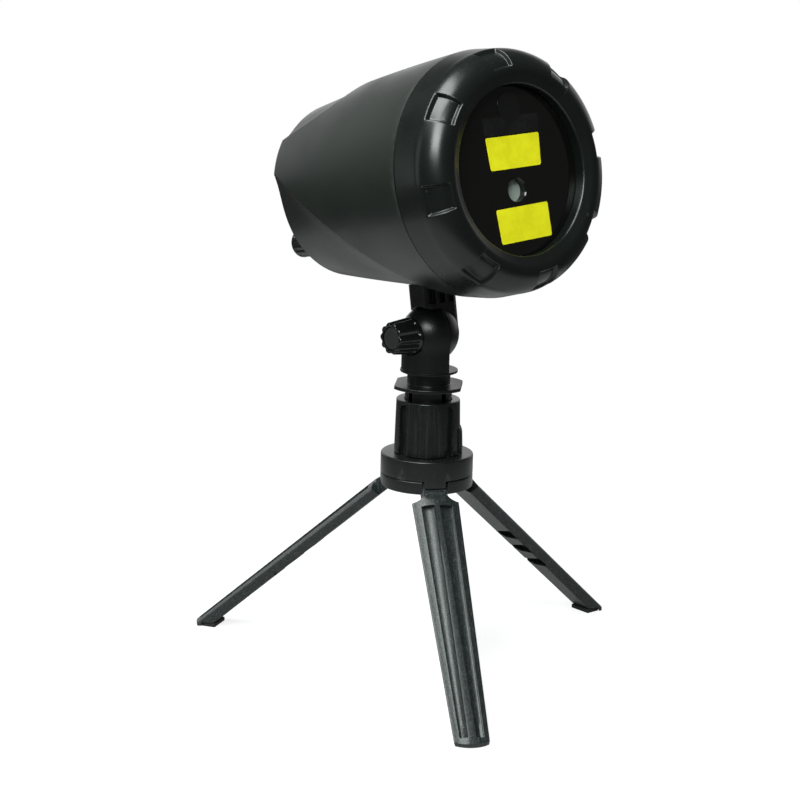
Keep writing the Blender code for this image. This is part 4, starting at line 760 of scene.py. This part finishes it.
place_piece("front_ring_lip", wrapped(len(ring_rows), len(ring_angles), ring_corner), HEAD,
            "head", RING_BLACK, ("front_ring",), sharp=50)

# %% [markdown]
# The panel is a polished disc with one hole for the beam. The hole gets a small countersink,
# which is what draws the bright crescent at its edge, and the glass stands behind it.

# %% Front panel and window
PANEL_FRONT, PANEL_BACK = RIM - 5.0, RIM - 7.0
BEAM = (0.0, -8.9)
BEAM_HOLE, COUNTERSINK = 5.4, 0.55
CUP, CUP_WALL = 6.6, 1.7        # the cup behind the panel that holds the glass
GLASS_FRONT, GLASS_BACK, GLASS = -4.0, -5.2, 6.3        # from the panel's face, and its radius
panel = turned(rounded([(0, PANEL_BACK), (RECESS - FIT, PANEL_BACK), (RECESS - FIT, PANEL_FRONT),
                        (0, PANEL_FRONT)], 0.35), 192)
panel = carve(panel, rod(CUP + CUP_WALL, PANEL_BACK - 3.6, PANEL_BACK + 1, BEAM),
              operation="UNION")
aperture = turned([
    (0, PANEL_FRONT - 4.5), (BEAM_HOLE, PANEL_FRONT - 4.5), (BEAM_HOLE, PANEL_FRONT - 0.45),
    (BEAM_HOLE + COUNTERSINK, PANEL_FRONT + 0.1), (0, PANEL_FRONT + 0.1)], 96)
panel = carve(panel, rod(CUP, PANEL_BACK - 5, PANEL_FRONT - 3.7, BEAM, 64),
              moved(aperture, shift(*BEAM)))
place_piece("polished_panel", panel, HEAD, "head", PANEL_BLACK, ("front_panel",))

window = turned(rounded([(0, GLASS_BACK), (GLASS, GLASS_BACK), (GLASS, GLASS_FRONT),
                         (0, GLASS_FRONT)], 0.15), 64)
place_piece("beam_window", window, HEAD @ shift(*BEAM, PANEL_FRONT), "head", WINDOW_GLASS,
            ("aperture_window",))

# %% [markdown]
# Four bare stickers stand on the panel: three plates a tenth of a millimetre thick and a round
# one. A plate's corners are rounded by a bevel on vertices while it's still a flat face, and
# then it is raised.

# %% Stickers
STICKER = 0.12                  # thickness
CORNER = 1.0
LIFT = 0.01                     # keeps a sticker's back clear of the panel
STICKER_BACK = PANEL_FRONT + LIFT
DOT_PLACE, DOT_RADIUS = (-1.2, 29.5), 7.0
STICKERS = {
    "upper_sticker": ([(-17.5, 15.6), (-15.5, 0.5), (16.7, 2.1), (16.8, 17.3)], YELLOW_VINYL),
    "header_sticker": ([(-18.4, 24.6), (-17.7, 16.0), (16.8, 17.7), (16.9, 26.2)], BLACK_VINYL),
    "lower_sticker": ([(-14.5, -17.4), (-12.4, -33.4), (20.0, -31.2), (18.7, -15.2)],
                      YELLOW_VINYL),
}
for name, (corners, vinyl_look) in STICKERS.items():
    place_piece(name, plate(corners, STICKER_BACK, STICKER_BACK + STICKER, CORNER), HEAD, "head",
                vinyl_look)
dot = turned(rounded([(0, 0), (DOT_RADIUS, 0), (DOT_RADIUS, STICKER), (0, STICKER)], 0.05), 96)
dot_place = shift(*DOT_PLACE, STICKER_BACK + STICKER + 2 * LIFT)
place_piece("round_sticker", dot, HEAD @ dot_place, "head", BLACK_VINYL)

# %% [markdown]
# Two fittings stand on the rear wall. The power inlet has a collar with grip flutes round a
# centre pin, and the mode button is a soft rubber cap in a ring. Flutes are one more use of
# `wrapped`: the radius dips with the cosine of the angle.

# %% Power inlet and mode button
INLET = HEAD @ shift(*INLET_PLACE, REAR_FACE)
BUTTON = HEAD @ shift(*BUTTON_PLACE, REAR_FACE)
INLET_COLUMNS = 144
inlet_rows = [(r, z, 0) for r, z in rounded([(0, 8.6), (4.6, 8.6), (4.6, -0.3), (7.4, -0.3)], 0.2)]
inlet_rows += [(7.4, z, smooth((-1.2 - z) / 0.8) * smooth((z + 12.4) / 0.8)) for z in spread([
    (-0.5, 2), (-1.2, 5), (-2.2, 10), (-11.4, 5), (-12.6, 3), (-13.2, 1)])]
inlet_rows += [(r, z, 0) for r, z in rounded([
    (7.4, -13.2), (7.0, -14.0), (3.4, -14.0), (2.9, -13.4), (2.9, -4.7), (1.0, -4.7),
    (1.0, -11.6), (0.5, -12.0), (0, -12.0)], 0.25)]


def inlet_corner(row, column):
    radius, height, gate = inlet_rows[row]
    angle = 2 * pi * column / INLET_COLUMNS
    radius -= 0.55 * gate * (0.5 + 0.5 * cos(12 * angle)) ** 2
    return radius * cos(angle), radius * sin(angle), height


place_piece("inlet_collar", wrapped(len(inlet_rows), INLET_COLUMNS, inlet_corner), INLET, "head",
            KNUCKLE_BLACK, ("power_inlet",))
button_ring = turned(rounded([
    (2.3, 8.6), (4.2, 8.6), (4.2, -0.3), (6.2, -0.3), (6.2, -4.4), (5.6, -5.0), (4.7, -5.0),
    (4.3, -4.6), (4.3, -0.9), (2.3, -0.9), (2.3, 8.6)], 0.25), 96)
place_piece("button_bezel", button_ring, BUTTON, "head", KNUCKLE_BLACK,
            ("button_ring",))
button = turned(rounded([
    (0, 10.1), (2.6, 10.1), (2.6, 8.9), (2.0, 8.9), (2.0, -2.7), (4.0, -2.7), (4.0, -6.4),
    (3.4, -7.0), (1.6, -6.75), (0, -6.7)], 0.5, 4), 96)
place_piece("button_cap", button, BUTTON, "button", RUBBER, ("mode_button",))

# %% [markdown]
# The knuckle is a ball split by a plane, with teeth on both faces so that the angle holds once
# the knob is tight. The lower half runs from the ball into a round upright in one turned line,
# so no edge shows between them, and the spot face is hardly wider than the knob on it.

# %% Serrated knuckle, lower half
BALL, UPPER_BALL = 14.2, 14.4
PARTING = 1.0
TEETH, TOOTH_HEIGHT, TOOTH_INNER, TOOTH_OUTER = 30, 0.65, 7.0, 13.0
TOOTH_SHARE = 0.97              # how much of its pitch a groove fills
BOLT = 2.9


def ball(radius):
    shape = bmesh.new()
    bmesh.ops.create_uvsphere(shape, u_segments=96, v_segments=48, radius=radius * MM,
                              matrix=Matrix.Rotation(pi / 2, 4, "Y"))
    return shape


def teeth(face, facing):
    """A ring of tapered grooves round X, as one tool for a face that looks along X or back."""
    shape = bmesh.new()
    pitch = 2 * pi / TEETH
    width = TOOTH_SHARE * 2 * tan(pitch / 2) / sqrt(3)
    squeeze = Matrix.Diagonal((TOOTH_HEIGHT / TOOTH_OUTER, width, 1, 1))
    raise_it = shift(0, 0, (TOOTH_INNER + TOOTH_OUTER) / 2)
    for tooth in range(TEETH):
        groove = bmesh.ops.create_cone(shape, cap_ends=True, segments=3, radius1=TOOTH_INNER * MM,
                                       radius2=TOOTH_OUTER * MM,
                                       depth=(TOOTH_OUTER - TOOTH_INNER) * MM)["verts"]
        for corner in groove:
            if corner.co.x < 0:
                corner.co.x *= 0.2
        bmesh.ops.transform(shape, verts=groove,
                            matrix=Matrix.Rotation(tooth * pitch, 4, "X") @ raise_it @ squeeze)
    if facing > 0:
        moved(shape, Matrix.Rotation(pi, 4, "Z"))
    return moved(shape, shift(face, 0))


KNUCKLE_BASE = -19.0            # below the pivot
UPRIGHT = 13.8
BLEND_END = -9.0                # where the ball has run out into the upright
SPOTFACE, SPOTFACE_LEVEL = 9.7, -11.7
SWIVEL_BORE, SWIVEL_DEPTH = 2.3, -18.3
SPIGOT, SPIGOT_END = 5.0, -24.8
crown_line = [(BALL * sin(radians(lean)), BALL * cos(radians(lean))) for lean in range(0, 91, 3)]
crown_line += [(UPRIGHT + (BALL - UPRIGHT) * smooth(1 - share), BLEND_END * share)
               for share in (0.15, 0.3, 0.45, 0.6, 0.75, 0.9, 1.0)]
lower = turned(crown_line + rounded([
    (UPRIGHT, BLEND_END - 1), (UPRIGHT, KNUCKLE_BASE + 1.2), (14.3, KNUCKLE_BASE + 1.2),
    (14.3, KNUCKLE_BASE), (SPIGOT, KNUCKLE_BASE), (SPIGOT, SPIGOT_END), (0, SPIGOT_END)], 0.35))
lower = carve(lower, block((PARTING, -PAST, KNUCKLE_BASE + 1.2), (PAST, PAST, PAST)),
              rod(SPOTFACE, -PAST, SPOTFACE_LEVEL, lean="X"), teeth(PARTING, 1),
              rod(BOLT + FIT, -PAST, PAST, lean="X"),
              rod(SWIVEL_BORE, -PAST, SWIVEL_DEPTH, sides=32))
place_piece("lower_ball", lower, PIVOT, "swivel", KNUCKLE_BLACK,
            ("lower_knuckle",))

# %% [markdown]
# The upper half grows into a broad neck, flush with the ball on the nut's side. Three grooves run
# up its front and save plastic. Its top is cut by the barrel's own taper, a hair larger, so
# that the neck fits the underside all round.

# %% Head bracket
ROOM_ROWS, ROOM_COLUMNS = 24, 96


def barrel_room_corner(row, column):
    """The barrel's outside, a hair larger and closed at both ends."""
    angle = 2 * pi * column / ROOM_COLUMNS
    share = min(max(row - 1, 0), ROOM_ROWS - 2)
    depth = JUNCTION + (BARREL_END + 5 - JUNCTION) * share / (ROOM_ROWS - 2)
    radius = 0 if row in (0, ROOM_ROWS) else barrel_radius(angle, min(depth, BARREL_END)) + FIT
    return radius * cos(angle), radius * sin(angle), RIM - depth


room = moved(wrapped(ROOM_ROWS + 1, ROOM_COLUMNS, barrel_room_corner),
             shift(0, 0, HEAD_RISE) @ LEAN["Y"])
FACE = PARTING + FIT
NECK = (-6.0, 14.0, 8.8)        # left and right ends, and half the depth
NECK_CORNER = 5.0
GROOVE_PLACES = (-3.6, 2.4, 8.4)
NECK_GROOVE, NECK_DEEP = 1.7, 2.0
NECK_END = 29.9                 # above the barrel's underside, which cuts it
NUT, NUT_SEAT = 6.3, 8.0        # the nut's pocket, across its corners
QUARTER = 12                    # steps round a corner of the neck
neck_outline = []
for quarter, (x, y) in enumerate(((NECK[1], NECK[2]), (NECK[0], NECK[2]), (NECK[0], -NECK[2]),
                                  (NECK[1], -NECK[2]))):
    middle = (x - NECK_CORNER * (1 if x > 0 else -1), y - NECK_CORNER * (1 if y > 0 else -1))
    for step in range(QUARTER + 1):
        angle = pi / 2 * quarter + pi / 2 * step / QUARTER
        neck_outline.append((middle[0] + NECK_CORNER * cos(angle),
                             middle[1] + NECK_CORNER * sin(angle)))
cavity = carve(ball(BALL + 0.6), block((FACE, -PAST, -PAST), (PAST, PAST, PAST)))
half_ball = carve(ball(UPPER_BALL), block((-PAST, -PAST, -PAST), (FACE, PAST, PAST)))
bracket = carve(carve(plate(neck_outline, 0, NECK_END), cavity), half_ball, operation="UNION")
hexagon = moved(rod(NUT, NUT_SEAT, PAST, sides=6, lean="X"), Matrix.Rotation(pi / 6, 4, "X"))
grooves = [round_edges(block((middle - NECK_GROOVE, -PAST, UPPER_BALL + FIT),
                             (middle + NECK_GROOVE, NECK_DEEP - NECK[2], 60)), 0.5)
           for middle in GROOVE_PLACES]
bracket = carve(bracket, rod(BOLT + FIT, 0, PAST, lean="X"), hexagon, teeth(FACE, -1), *grooves,
                room)
place_piece("ribbed_neck", bracket, BRACKET, "head", KNUCKLE_BLACK,
            ("head_bracket",))

# %% [markdown]
# The knob is a tapering cup with ten flutes. A matte cap closes its end and sits a little below
# the rim, which gives the dark ring round it.

# %% Clamp knob and cap
KNOB_BASE, KNOB_LENGTH, FLUTES = 12.0, 13.7, 10
KNOB_COLUMNS = 160
knob_rows = [(3.2, 0.0, 0), (8.6, 0.0, 0), (9.0, 0.12, 0), (9.25, 0.45, 0)]
knob_rows += [(9.3 - 1.5 * z / KNOB_LENGTH, z, smooth((z - 1.0) / 1.6))
              for z in spread([(0.9, 8), (3.0, 8), (12.6, 1)])]
knob_rows += [(7.95, 12.6, 1.0), (7.85, 13.1, 0.95), (7.6, 13.5, 0.85), (7.2, 13.7, 0.7),
              (6.2, 13.7, 0), (5.8, 13.55, 0), (5.7, 13.2, 0), (5.7, 11.7, 0),
              (4.9, 11.7, 0), (4.9, 8.1, 0), (3.2, 8.1, 0), (3.2, 0.0, 0)]


def knob_corner(row, column):
    radius, height, gate = knob_rows[row]
    angle = 2 * pi * column / KNOB_COLUMNS
    radius -= 1.25 * gate * (0.5 + 0.5 * cos(FLUTES * angle)) ** 1.5
    return radius * cos(angle), radius * sin(angle), KNOB_BASE + height


place_piece("fluted_knob", wrapped(len(knob_rows), KNOB_COLUMNS, knob_corner), KNOB, "knob",
            KNOB_BLACK, ("clamp_knob",), sharp=45)
cap = turned(rounded([(0, 24.0), (5.4, 24.0), (5.4, 25.15), (4.7, 25.2), (4.3, 25.05), (0, 25.1)],
                     0.3), 96)
place_piece("knob_end_cap", cap, KNOB, "knob", CAP_BLACK, ("knob_cap",))

# %% [markdown]
# The hub is two rings that clamp the leg pins. The upper one has three tabs that reach down
# between the slots of the lower one, and the thin dark line where they part is the real gap.
# Screws come up from below, in counterbores halfway between the legs.

# %% Hub, upper ring
HUB_RADIUS, HUB_LOW, HUB_BOTTOM = 23.1, -9.9, -16.4
TAB_HALF, TAB_DROP, TAB_EDGE = 13.27, 3.4, 0.4      # degrees, mm, degrees
LEGS = 3
PITCH = 360 / LEGS
PIN_CIRCLE, PIN_DROP, PIN_HALF = 16.5, 13.3, 11.3
SCREW_CIRCLE = 15.0
BORE = 1.8                      # for a leg pin or a hub screw
LEG_SLOT = 6.5                  # half the width that a leg's neck needs
EYE_ROOM = 4.3                  # for the round end of a leg
NECK_REACH, NECK_ROOM = 13.3, 3.7       # for a standing leg's neck, out and up from the pin
MIDDLE_BORE, UNDERCUT = 8.3, 20.95
hub_angles = spread([(0, 8), (TAB_HALF - TAB_EDGE, 3), (TAB_HALF + TAB_EDGE, 26),
                     (PITCH - TAB_HALF - TAB_EDGE, 3), (PITCH - TAB_HALF + TAB_EDGE, 8),
                     (PITCH, 1)])
hub_rows = [(MIDDLE_BORE, 0.0, 0), (15.0, 0.0, 0), (21.8, 0.0, 0), (22.45, -0.03, 0),
            (22.8, -0.13, 0), (23.0, -0.35, 0), (HUB_RADIUS, -0.75, 0), (HUB_RADIUS, -5.0, 0),
            (HUB_RADIUS, HUB_LOW + 0.25, 1), (HUB_RADIUS - 0.2, HUB_LOW, 1),
            (UNDERCUT, HUB_LOW, 1), (UNDERCUT, HUB_LOW, 0), (MIDDLE_BORE, HUB_LOW, 0),
            (MIDDLE_BORE, 0.0, 0)]


def hub_corner(row, column):
    radius, height, gate = hub_rows[row]
    angle = hub_angles[column % len(hub_angles)] + PITCH * (column // len(hub_angles))
    offset = angle % PITCH
    drop = smooth((TAB_HALF + TAB_EDGE - min(offset, PITCH - offset)) / (2 * TAB_EDGE))
    angle = radians(angle)
    return radius * cos(angle), radius * sin(angle), height - TAB_DROP * gate * drop


def pin_frame(shape, slope=0.0):
    """From a leg's own axes to the hub's, for the leg that lies along X."""
    return moved(shape, shift(PIN_CIRCLE, 0, -PIN_DROP) @ Matrix.Rotation(slope, 4, "Y"))


hub = carve(
    wrapped(len(hub_rows), LEGS * len(hub_angles), hub_corner),
    *around(LEGS, lambda: pin_frame(rod(EYE_ROOM, -LEG_SLOT, LEG_SLOT, lean="Y"))),
    *around(LEGS, lambda: pin_frame(
        block((0, -LEG_SLOT, 0), (NECK_REACH, LEG_SLOT, NECK_ROOM)), LEG_SLOPE)),
    *around(LEGS, lambda: rod(BORE, -20, -3.2, (-SCREW_CIRCLE, 0))))
place_piece("hub_cap", hub, STAND, "stand", HUB_BLACK, ("hub_upper",))

# %% [markdown]
# The lower ring is a disc with a slot for each leg, a counterbored hole for each screw and an
# open groove for each pin.

# %% Hub, lower ring
LOWER_TOP = HUB_LOW - FIT
SLOT_START = 11.5               # radius at which a leg's slot begins
SCREW_HEAD, HEAD_DEPTH = 3.0, 2.3
base = turned(rounded([(0, LOWER_TOP), (HUB_RADIUS, LOWER_TOP), (HUB_RADIUS, HUB_BOTTOM),
                       (0, HUB_BOTTOM)], 0.6), 192)
base = carve(
    base, *around(LEGS, lambda: block((SLOT_START, -LEG_SLOT, -PAST), (PAST, LEG_SLOT, 0))),
    *around(LEGS, lambda: rod(SCREW_HEAD, -PAST, HUB_BOTTOM + HEAD_DEPTH, (-SCREW_CIRCLE, 0))),
    *around(LEGS, lambda: rod(BORE, -PAST, 0, (-SCREW_CIRCLE, 0))),
    *around(LEGS, lambda: pin_frame(rod(BORE, -PIN_HALF, PIN_HALF, lean="Y"))),
    *around(LEGS, lambda: block((PIN_CIRCLE - BORE, -PIN_HALF, -PIN_DROP),
                                (PIN_CIRCLE + BORE, PIN_HALF, 0))))
place_piece("hub_base", base, STAND, "stand", HUB_BLACK, ("hub_lower",))

# %% [markdown]
# The socket column has four arched slots and a latch tongue. It is turned, its slots are cut
# with arched plates laid on their side, and the tongue is a softened plate joined to it.

# %% Socket column
SLOT_HALF, SLOT_CROWN = 2.85, 23.0
SLOT_FLOOR = 13.8               # radius
SOCKET, SOCKET_BOTTOM, COLUMN_TOP = 11.9, 2.3, 27.3
COLUMN_FOOT, COLUMN_HEAD = 16.5, 15.8
STUB, STUB_END, COLUMN_BASE = 8.0, -7.0, 0.3
ARCH_STEPS = 16
arch = [(-SLOT_HALF, -0.3), (SLOT_HALF, -0.3)]
arch += [(SLOT_HALF * cos(pi * step / ARCH_STEPS),
          SLOT_CROWN + SLOT_HALF * sin(pi * step / ARCH_STEPS)) for step in range(ARCH_STEPS + 1)]
column = turned(rounded([
    (0, SOCKET_BOTTOM), (SOCKET, SOCKET_BOTTOM), (SOCKET, COLUMN_TOP), (COLUMN_HEAD, COLUMN_TOP),
    (COLUMN_FOOT, COLUMN_BASE), (STUB, COLUMN_BASE), (STUB, STUB_END), (0, STUB_END)],
    0.55, 4), 192)
column = carve(column, *around(4, lambda: moved(plate(arch, SLOT_FLOOR, 33), LEAN["Y"])))
tongue = round_edges(plate([(13.85, 0.3), (17.6, 0.3), (17.16, 10.3), (16.9, 11.6), (16.13, 13.7),
                            (13.85, 13.7)], -4, 4), 0.45)
column = carve(column, moved(tongue, Matrix.Rotation(-pi / 4, 4, "Z") @ LEAN["Y"]),
               operation="UNION")
place_piece("slotted_column", column, STAND, "stand", COLUMN_BLACK,
            ("socket_column",))

# %% [markdown]
# The plug that stands in the column carries a round flange with two flats. It is turned from a
# closed profile, and then the flats and the four splits that let it spring are cut.

# %% Plug and flange
PLUG, PLUG_BORE, PLUG_END = 11.6, 8.0, 2.6
PLUG_NECK, PLUG_TOP, SCREW_WAY = 10.7, 40.7, 5.3
FLANGE, FLANGE_LOW, FLANGE_HIGH, FLAT = 19.0, 33.2, 34.9, 16.3
SPLIT_HALF, SPLIT_TOP = 1.3, 31.7
plug_line = rounded([
    (PLUG_BORE, FLANGE_HIGH), (SCREW_WAY, FLANGE_HIGH), (SCREW_WAY, PLUG_TOP),
    (PLUG_NECK, PLUG_TOP), (PLUG_NECK, FLANGE_HIGH), (FLANGE, FLANGE_HIGH), (FLANGE, FLANGE_LOW),
    (PLUG, FLANGE_LOW), (PLUG, PLUG_END), (PLUG_BORE, PLUG_END), (PLUG_BORE, 20.0)], 0.4, 4)
plug = carve(turned(plug_line + [plug_line[0]], 192),
             *around(2, lambda: block((FLAT, -FLANGE, FLANGE_LOW / 2), (2 * FLANGE, FLANGE, PLUG_TOP)),
                     3 * pi / 4),
             *around(4, lambda: block((6.4, -SPLIT_HALF, -PLUG_END), (FLANGE, SPLIT_HALF, SPLIT_TOP))))
place_piece("split_plug", plug, STAND, "stand", KNUCKLE_BLACK, ("stem_plug",))

# %% [markdown]
# A leg is `wrapped` along its own length: a row is a station, and the columns go round the
# section. Each section is half a profile, mirrored: the rib, a groove, the low crown, the sloping
# side and the flat underside. Rows gathered in pairs make the grooves' square ends and the
# shoulder's quick flare from neck to full width.

# %% Leg sections
LEG_LENGTH, LEG_END = 145.4, 152.0
LEG_HALF, TOE_HALF = 11.7, 8.0
SHOULDER, FLARE = 10.6, 3.2
NECK_HALF, NECK_TOP = 6.1, 3.4
CROWN, CROWN_RISE, UNDERSIDE, SOLE_SHARE = 4.0, 3.5, -3.5, 0.735
BOSS = 4.0
RIB_HALF, RIB_TOE = 1.2, 2.0
GROOVE_FIRST, GROOVE_LAST = 13.7, 138.4
GROOVE_DEEP, GROOVE_TOE_DEEP = 2.6, 1.9
GROOVE_WIDE, GROOVE_NARROW = 6.5, 3.4
HOLLOW = (0.50, 0.90, 1.0, 0.62)        # depths across a groove's floor, as parts of the full
SOFT = 0.16                     # width of a soft edge


def along_leg(station, start, end):
    """A size that changes evenly from the shoulder to the leg's end."""
    return start + (end - start) * min(max((station - SHOULDER) / (LEG_END - SHOULDER), 0), 1)


def leg_half_width(station):
    full = along_leg(station, LEG_HALF, TOE_HALF)
    if station >= SHOULDER:
        return full
    share = min(max((station - SHOULDER + FLARE) / FLARE, 0), 1)
    return NECK_HALF + (full - NECK_HALF) * (1 - sqrt(1 - share * share))


def crown_level(station, across):
    """Height of the crown, an arc across the leg."""
    half = along_leg(station, LEG_HALF, TOE_HALF)
    rise = CROWN_RISE * half / LEG_HALF
    bend = (half * half + rise * rise) / (2 * rise)
    return CROWN - bend + sqrt(bend * bend - across * across)


def half_section(station, gate):
    """Corners from the middle of the crown round one side to the middle of the underside."""
    half = leg_half_width(station)
    rib = along_leg(station, RIB_HALF, RIB_TOE)
    outer = rib + along_leg(station, GROOVE_WIDE, GROOVE_NARROW)
    outer = min(outer, NECK_HALF - 3 * SOFT) if station < SHOULDER else outer
    deep = along_leg(station, GROOVE_DEEP, GROOVE_TOE_DEEP) * gate
    neck = 1 - smooth((station - SHOULDER + FLARE) / FLARE)
    points = [(across, crown_level(station, across) - deep * sink) for across, sink in (
        (0, 0), (rib - SOFT, 0), (rib, 0.05), (rib + SOFT / 2, 0.9 * HOLLOW[0]),
        (rib + SOFT, HOLLOW[0]), (rib * 0.7 + outer * 0.3, HOLLOW[1]),
        (rib * 0.35 + outer * 0.65, HOLLOW[2]), (outer - SOFT, HOLLOW[3]),
        (outer - SOFT / 2, 0.94 * HOLLOW[3]), (outer, 0.06), (outer + SOFT, 0))]
    start, edge = outer + SOFT, half - 0.5
    for step in range(1, 6):
        across = start + (edge - start) * step / 5
        points.append((across, crown_level(station, across)))
    lid = NECK_TOP
    if station < sqrt(BOSS * BOSS - NECK_TOP * NECK_TOP):
        lid = sqrt(max(BOSS * BOSS - station * station, 0))
    points = [(across, level + (lid - level) * neck) for across, level in points]
    floor_level = UNDERSIDE
    if station < sqrt(BOSS * BOSS - UNDERSIDE * UNDERSIDE):
        floor_level = -sqrt(max(BOSS * BOSS - station * station, 0))
    sole = half * (SOLE_SHARE + (1 - SOLE_SHARE) * neck)
    top = points[-1][1]
    side_top = max(top - (0.45 if neck < 1 else 0.3), floor_level)
    points += [(half - 0.18, top - 0.08), (half, side_top)]
    points += [(half + (sole - half) * share, side_top + (floor_level - side_top) * share)
               for share in (0.3, 0.6, 0.9)]
    points += [(sole - 0.12, floor_level + 0.08 * (1 - neck)), (sole - 0.55, floor_level),
               (sole * 0.5, floor_level), (0, floor_level)]
    return points


HALF_POINTS = len(half_section(LEG_LENGTH / 2, 1))
LEG_COLUMNS = 2 * HALF_POINTS - 2
print("a leg's section has", LEG_COLUMNS, "corners")

# %% [markdown]
# The stations are gathered where the form changes fast. The toe is cut to a curve, and its thin
# lip hides the rubber pad from the front, so the pad's room is cut behind a smaller curve.

# %% Legs
leg_stations = [(-BOSS * cos(pi / 2 * step / 10), 0) for step in range(10)]
leg_stations += [(station, 0) for station in spread([
    (0, 4), (2.2, 4), (SHOULDER - FLARE, 10), (SHOULDER - 0.3, 3), (SHOULDER, 1),
    (SHOULDER + 0.2, 3), (GROOVE_FIRST - 0.2, 1)])]
leg_stations += [(GROOVE_FIRST - SOFT, 0), (GROOVE_FIRST, 0.08), (GROOVE_FIRST + SOFT / 2, 0.94)]
leg_stations += [(station, 1) for station in spread([
    (GROOVE_FIRST + SOFT, 24), (GROOVE_LAST - SOFT, 1), (GROOVE_LAST, 1)])]
leg_stations += [(GROOVE_LAST - SOFT / 2, 0.94), (GROOVE_LAST, 0.08)]
leg_stations += [(station, 0) for station in spread([
    (GROOVE_LAST + SOFT, 8), (LEG_END, 1)]) + [LEG_END]]


def leg_corner(row, column):
    """The first and last rows are drawn together to a point, which closes the ends."""
    station, gate = leg_stations[min(max(row - 1, 0), len(leg_stations) - 1)]
    if row in (0, len(leg_stations) + 1):
        return station, 0, (NECK_TOP + UNDERSIDE) / 2 if row else 0
    if column < HALF_POINTS:
        across, level = half_section(station, gate)[column]
        return station, across, level
    across, level = half_section(station, gate)[LEG_COLUMNS - column]
    return station, -across, level


FOOT = shift(LEG_LENGTH, 0, CROWN) @ Matrix.Rotation(-LEG_SLOPE, 4, "Y")
SOLE, LIP_SOLE, LIP = 2.5, 0.35, 1.6        # undersides of the leg and its lip, lip thickness
TOE_TIP, TOE_ARC = -2.5, 11.5


def toe_arc(inset, widest):
    """The curve of the toe in plan, moved back; widest is the angle it turns to each side."""
    return [(TOE_TIP - TOE_ARC + (TOE_ARC - inset) * cos(radians(angle)),
             (TOE_ARC - inset) * sin(radians(angle))) for angle in range(-widest, widest + 1, 3)]


PEG, PEG_RADIUS, PEG_TOP = -8.64, 1.8, 4.9
POCKET_FIRST, POCKET_PITCH, POCKET_DEEP = 44.6, 14.2, 3.0
WEDGE = [(4.8, -7.6), (13.4, -7.6), (15.6, 3.0), (13.6, 7.6), (11.4, 7.6)]
for number in (1, 2, 3):
    pockets = [round_edges(plate([(POCKET_FIRST + POCKET_PITCH * pocket + x, y) for x, y in WEDGE],
                                 -20, UNDERSIDE + POCKET_DEEP), 0.35, 2) for pocket in range(3)]
    toe_tools = [plate(toe_arc(LIP, 60) + [(-50, 20), (-50, -20)], -60, SOLE),
                 block((-51, -21, -61), (50, 21, LIP_SOLE)),
                 plate(toe_arc(0, 51) + [(PAST, 25), (PAST, -25)], -60, 60),
                 rod(PEG_RADIUS + FIT, 0, PEG_TOP + FIT, (PEG, 0))]
    leg = carve(wrapped(len(leg_stations) + 2, LEG_COLUMNS, leg_corner),
                rod(BORE, -30, 30, lean="Y"), *pockets, *(moved(tool, FOOT) for tool in toe_tools))
    place_piece(f"ribbed_leg_{number}", leg, leg_place(number), f"leg_{number}", STAND_BLACK,
                (f"leg_{number}",), sharp=38)

# %% [markdown]
# Each foot is a rubber pad with a round nose, pressed into the leg with a peg.

# %% Foot pads
HEEL, HEEL_HALF, PAD = -14.9, 6.36, 2.2
pad_outline = toe_arc(LIP + FIT, 42) + [(HEEL, HEEL_HALF), (HEEL, -HEEL_HALF)]
for number in (1, 2, 3):
    pad = round_edges(plate(pad_outline, 0, PAD), 0.5, 4, angle=50)
    pad = carve(pad, rod(PEG_RADIUS, PAD / 2, PEG_TOP, (PEG, 0)), operation="UNION")
    place_piece(f"rubber_foot_{number}", pad, leg_place(number) @ FOOT, f"leg_{number}", RUBBER,
                (f"foot_pad_{number}",))

# %% [markdown]
# What is left inside and below keeps the solids from model.glb and only gets its finish.

# %% Finishes for the pieces that stay
INNER = [                       # a look, and how the names of its solids begin
    (STEEL, ("leg_pin", "hub_screw", "swivel_screw", "clamp_bolt", "clamp_nut", "bracket_screw",
             "board_screw", "block_screw", "inlet_nut", "button_nut", "grating_motor",
             "motor_strap")),
    (BRASS, ("green_laser", "red_laser")),
    (ALUMINIUM, ("chassis", "laser_block")),
    (OPTIC, ("beam_combiner", "grating_disc")),
    (BOARD_GREEN, ("driver_board",)),
    (RUBBER, ("ring_seal",)),
]
for look, starts in INNER:
    solids = [name for name in frame["nodes"] if name.startswith(starts)]
    for name in solids:
        for material_slot in frame["nodes"][name].material_slots:
            material_slot.link = "OBJECT"
            material_slot.material = look
    print(look.name, "on", len(solids), "solids")

# %% [markdown]
# The floor is a round table of grey paint that keeps the object's soft shadow. Seen by the
# camera or through glass it glows until it's white, so that it runs into the background, and a
# reflection sees a quarter of that glow, or the black plastic would turn pale.

# %% Floor
TABLE_RADIUS = 0.42
TABLE_DROP = 0.0002             # keeps the table's face just under the feet
FLOOR_GREY = (0.32, 0.32, 0.32, 1)
FLOOR_GLOW = 0.84
FLOOR_SHEEN = 0.25              # how much of that glow a reflection sees
floor_look, floor_tree, floor_paint = new_material("white table")
rays = node(floor_tree, "LightPath").outputs
glossy = product(floor_tree, rays["Is Glossy Ray"], FLOOR_SHEEN)
seen = combined(floor_tree, "MAXIMUM", rays["Is Camera Ray"], glossy)
seen = combined(floor_tree, "MAXIMUM", seen, rays["Is Transmission Ray"])
feed(floor_paint, Base_Color=FLOOR_GREY, Roughness=0.9, Specular_IOR_Level=0.0,
     Emission_Color=(1, 1, 1, 1), Emission_Strength=product(floor_tree, seen, FLOOR_GLOW))
floor_shape = bmesh.new()
bmesh.ops.create_circle(floor_shape, cap_ends=True, segments=96, radius=TABLE_RADIUS)
floor = in_scene("floor", mesh_of("floor", floor_shape))
floor.location.z = -TABLE_DROP
floor.data.materials.append(floor_look)
print("table", 2 * TABLE_RADIUS, "m across")
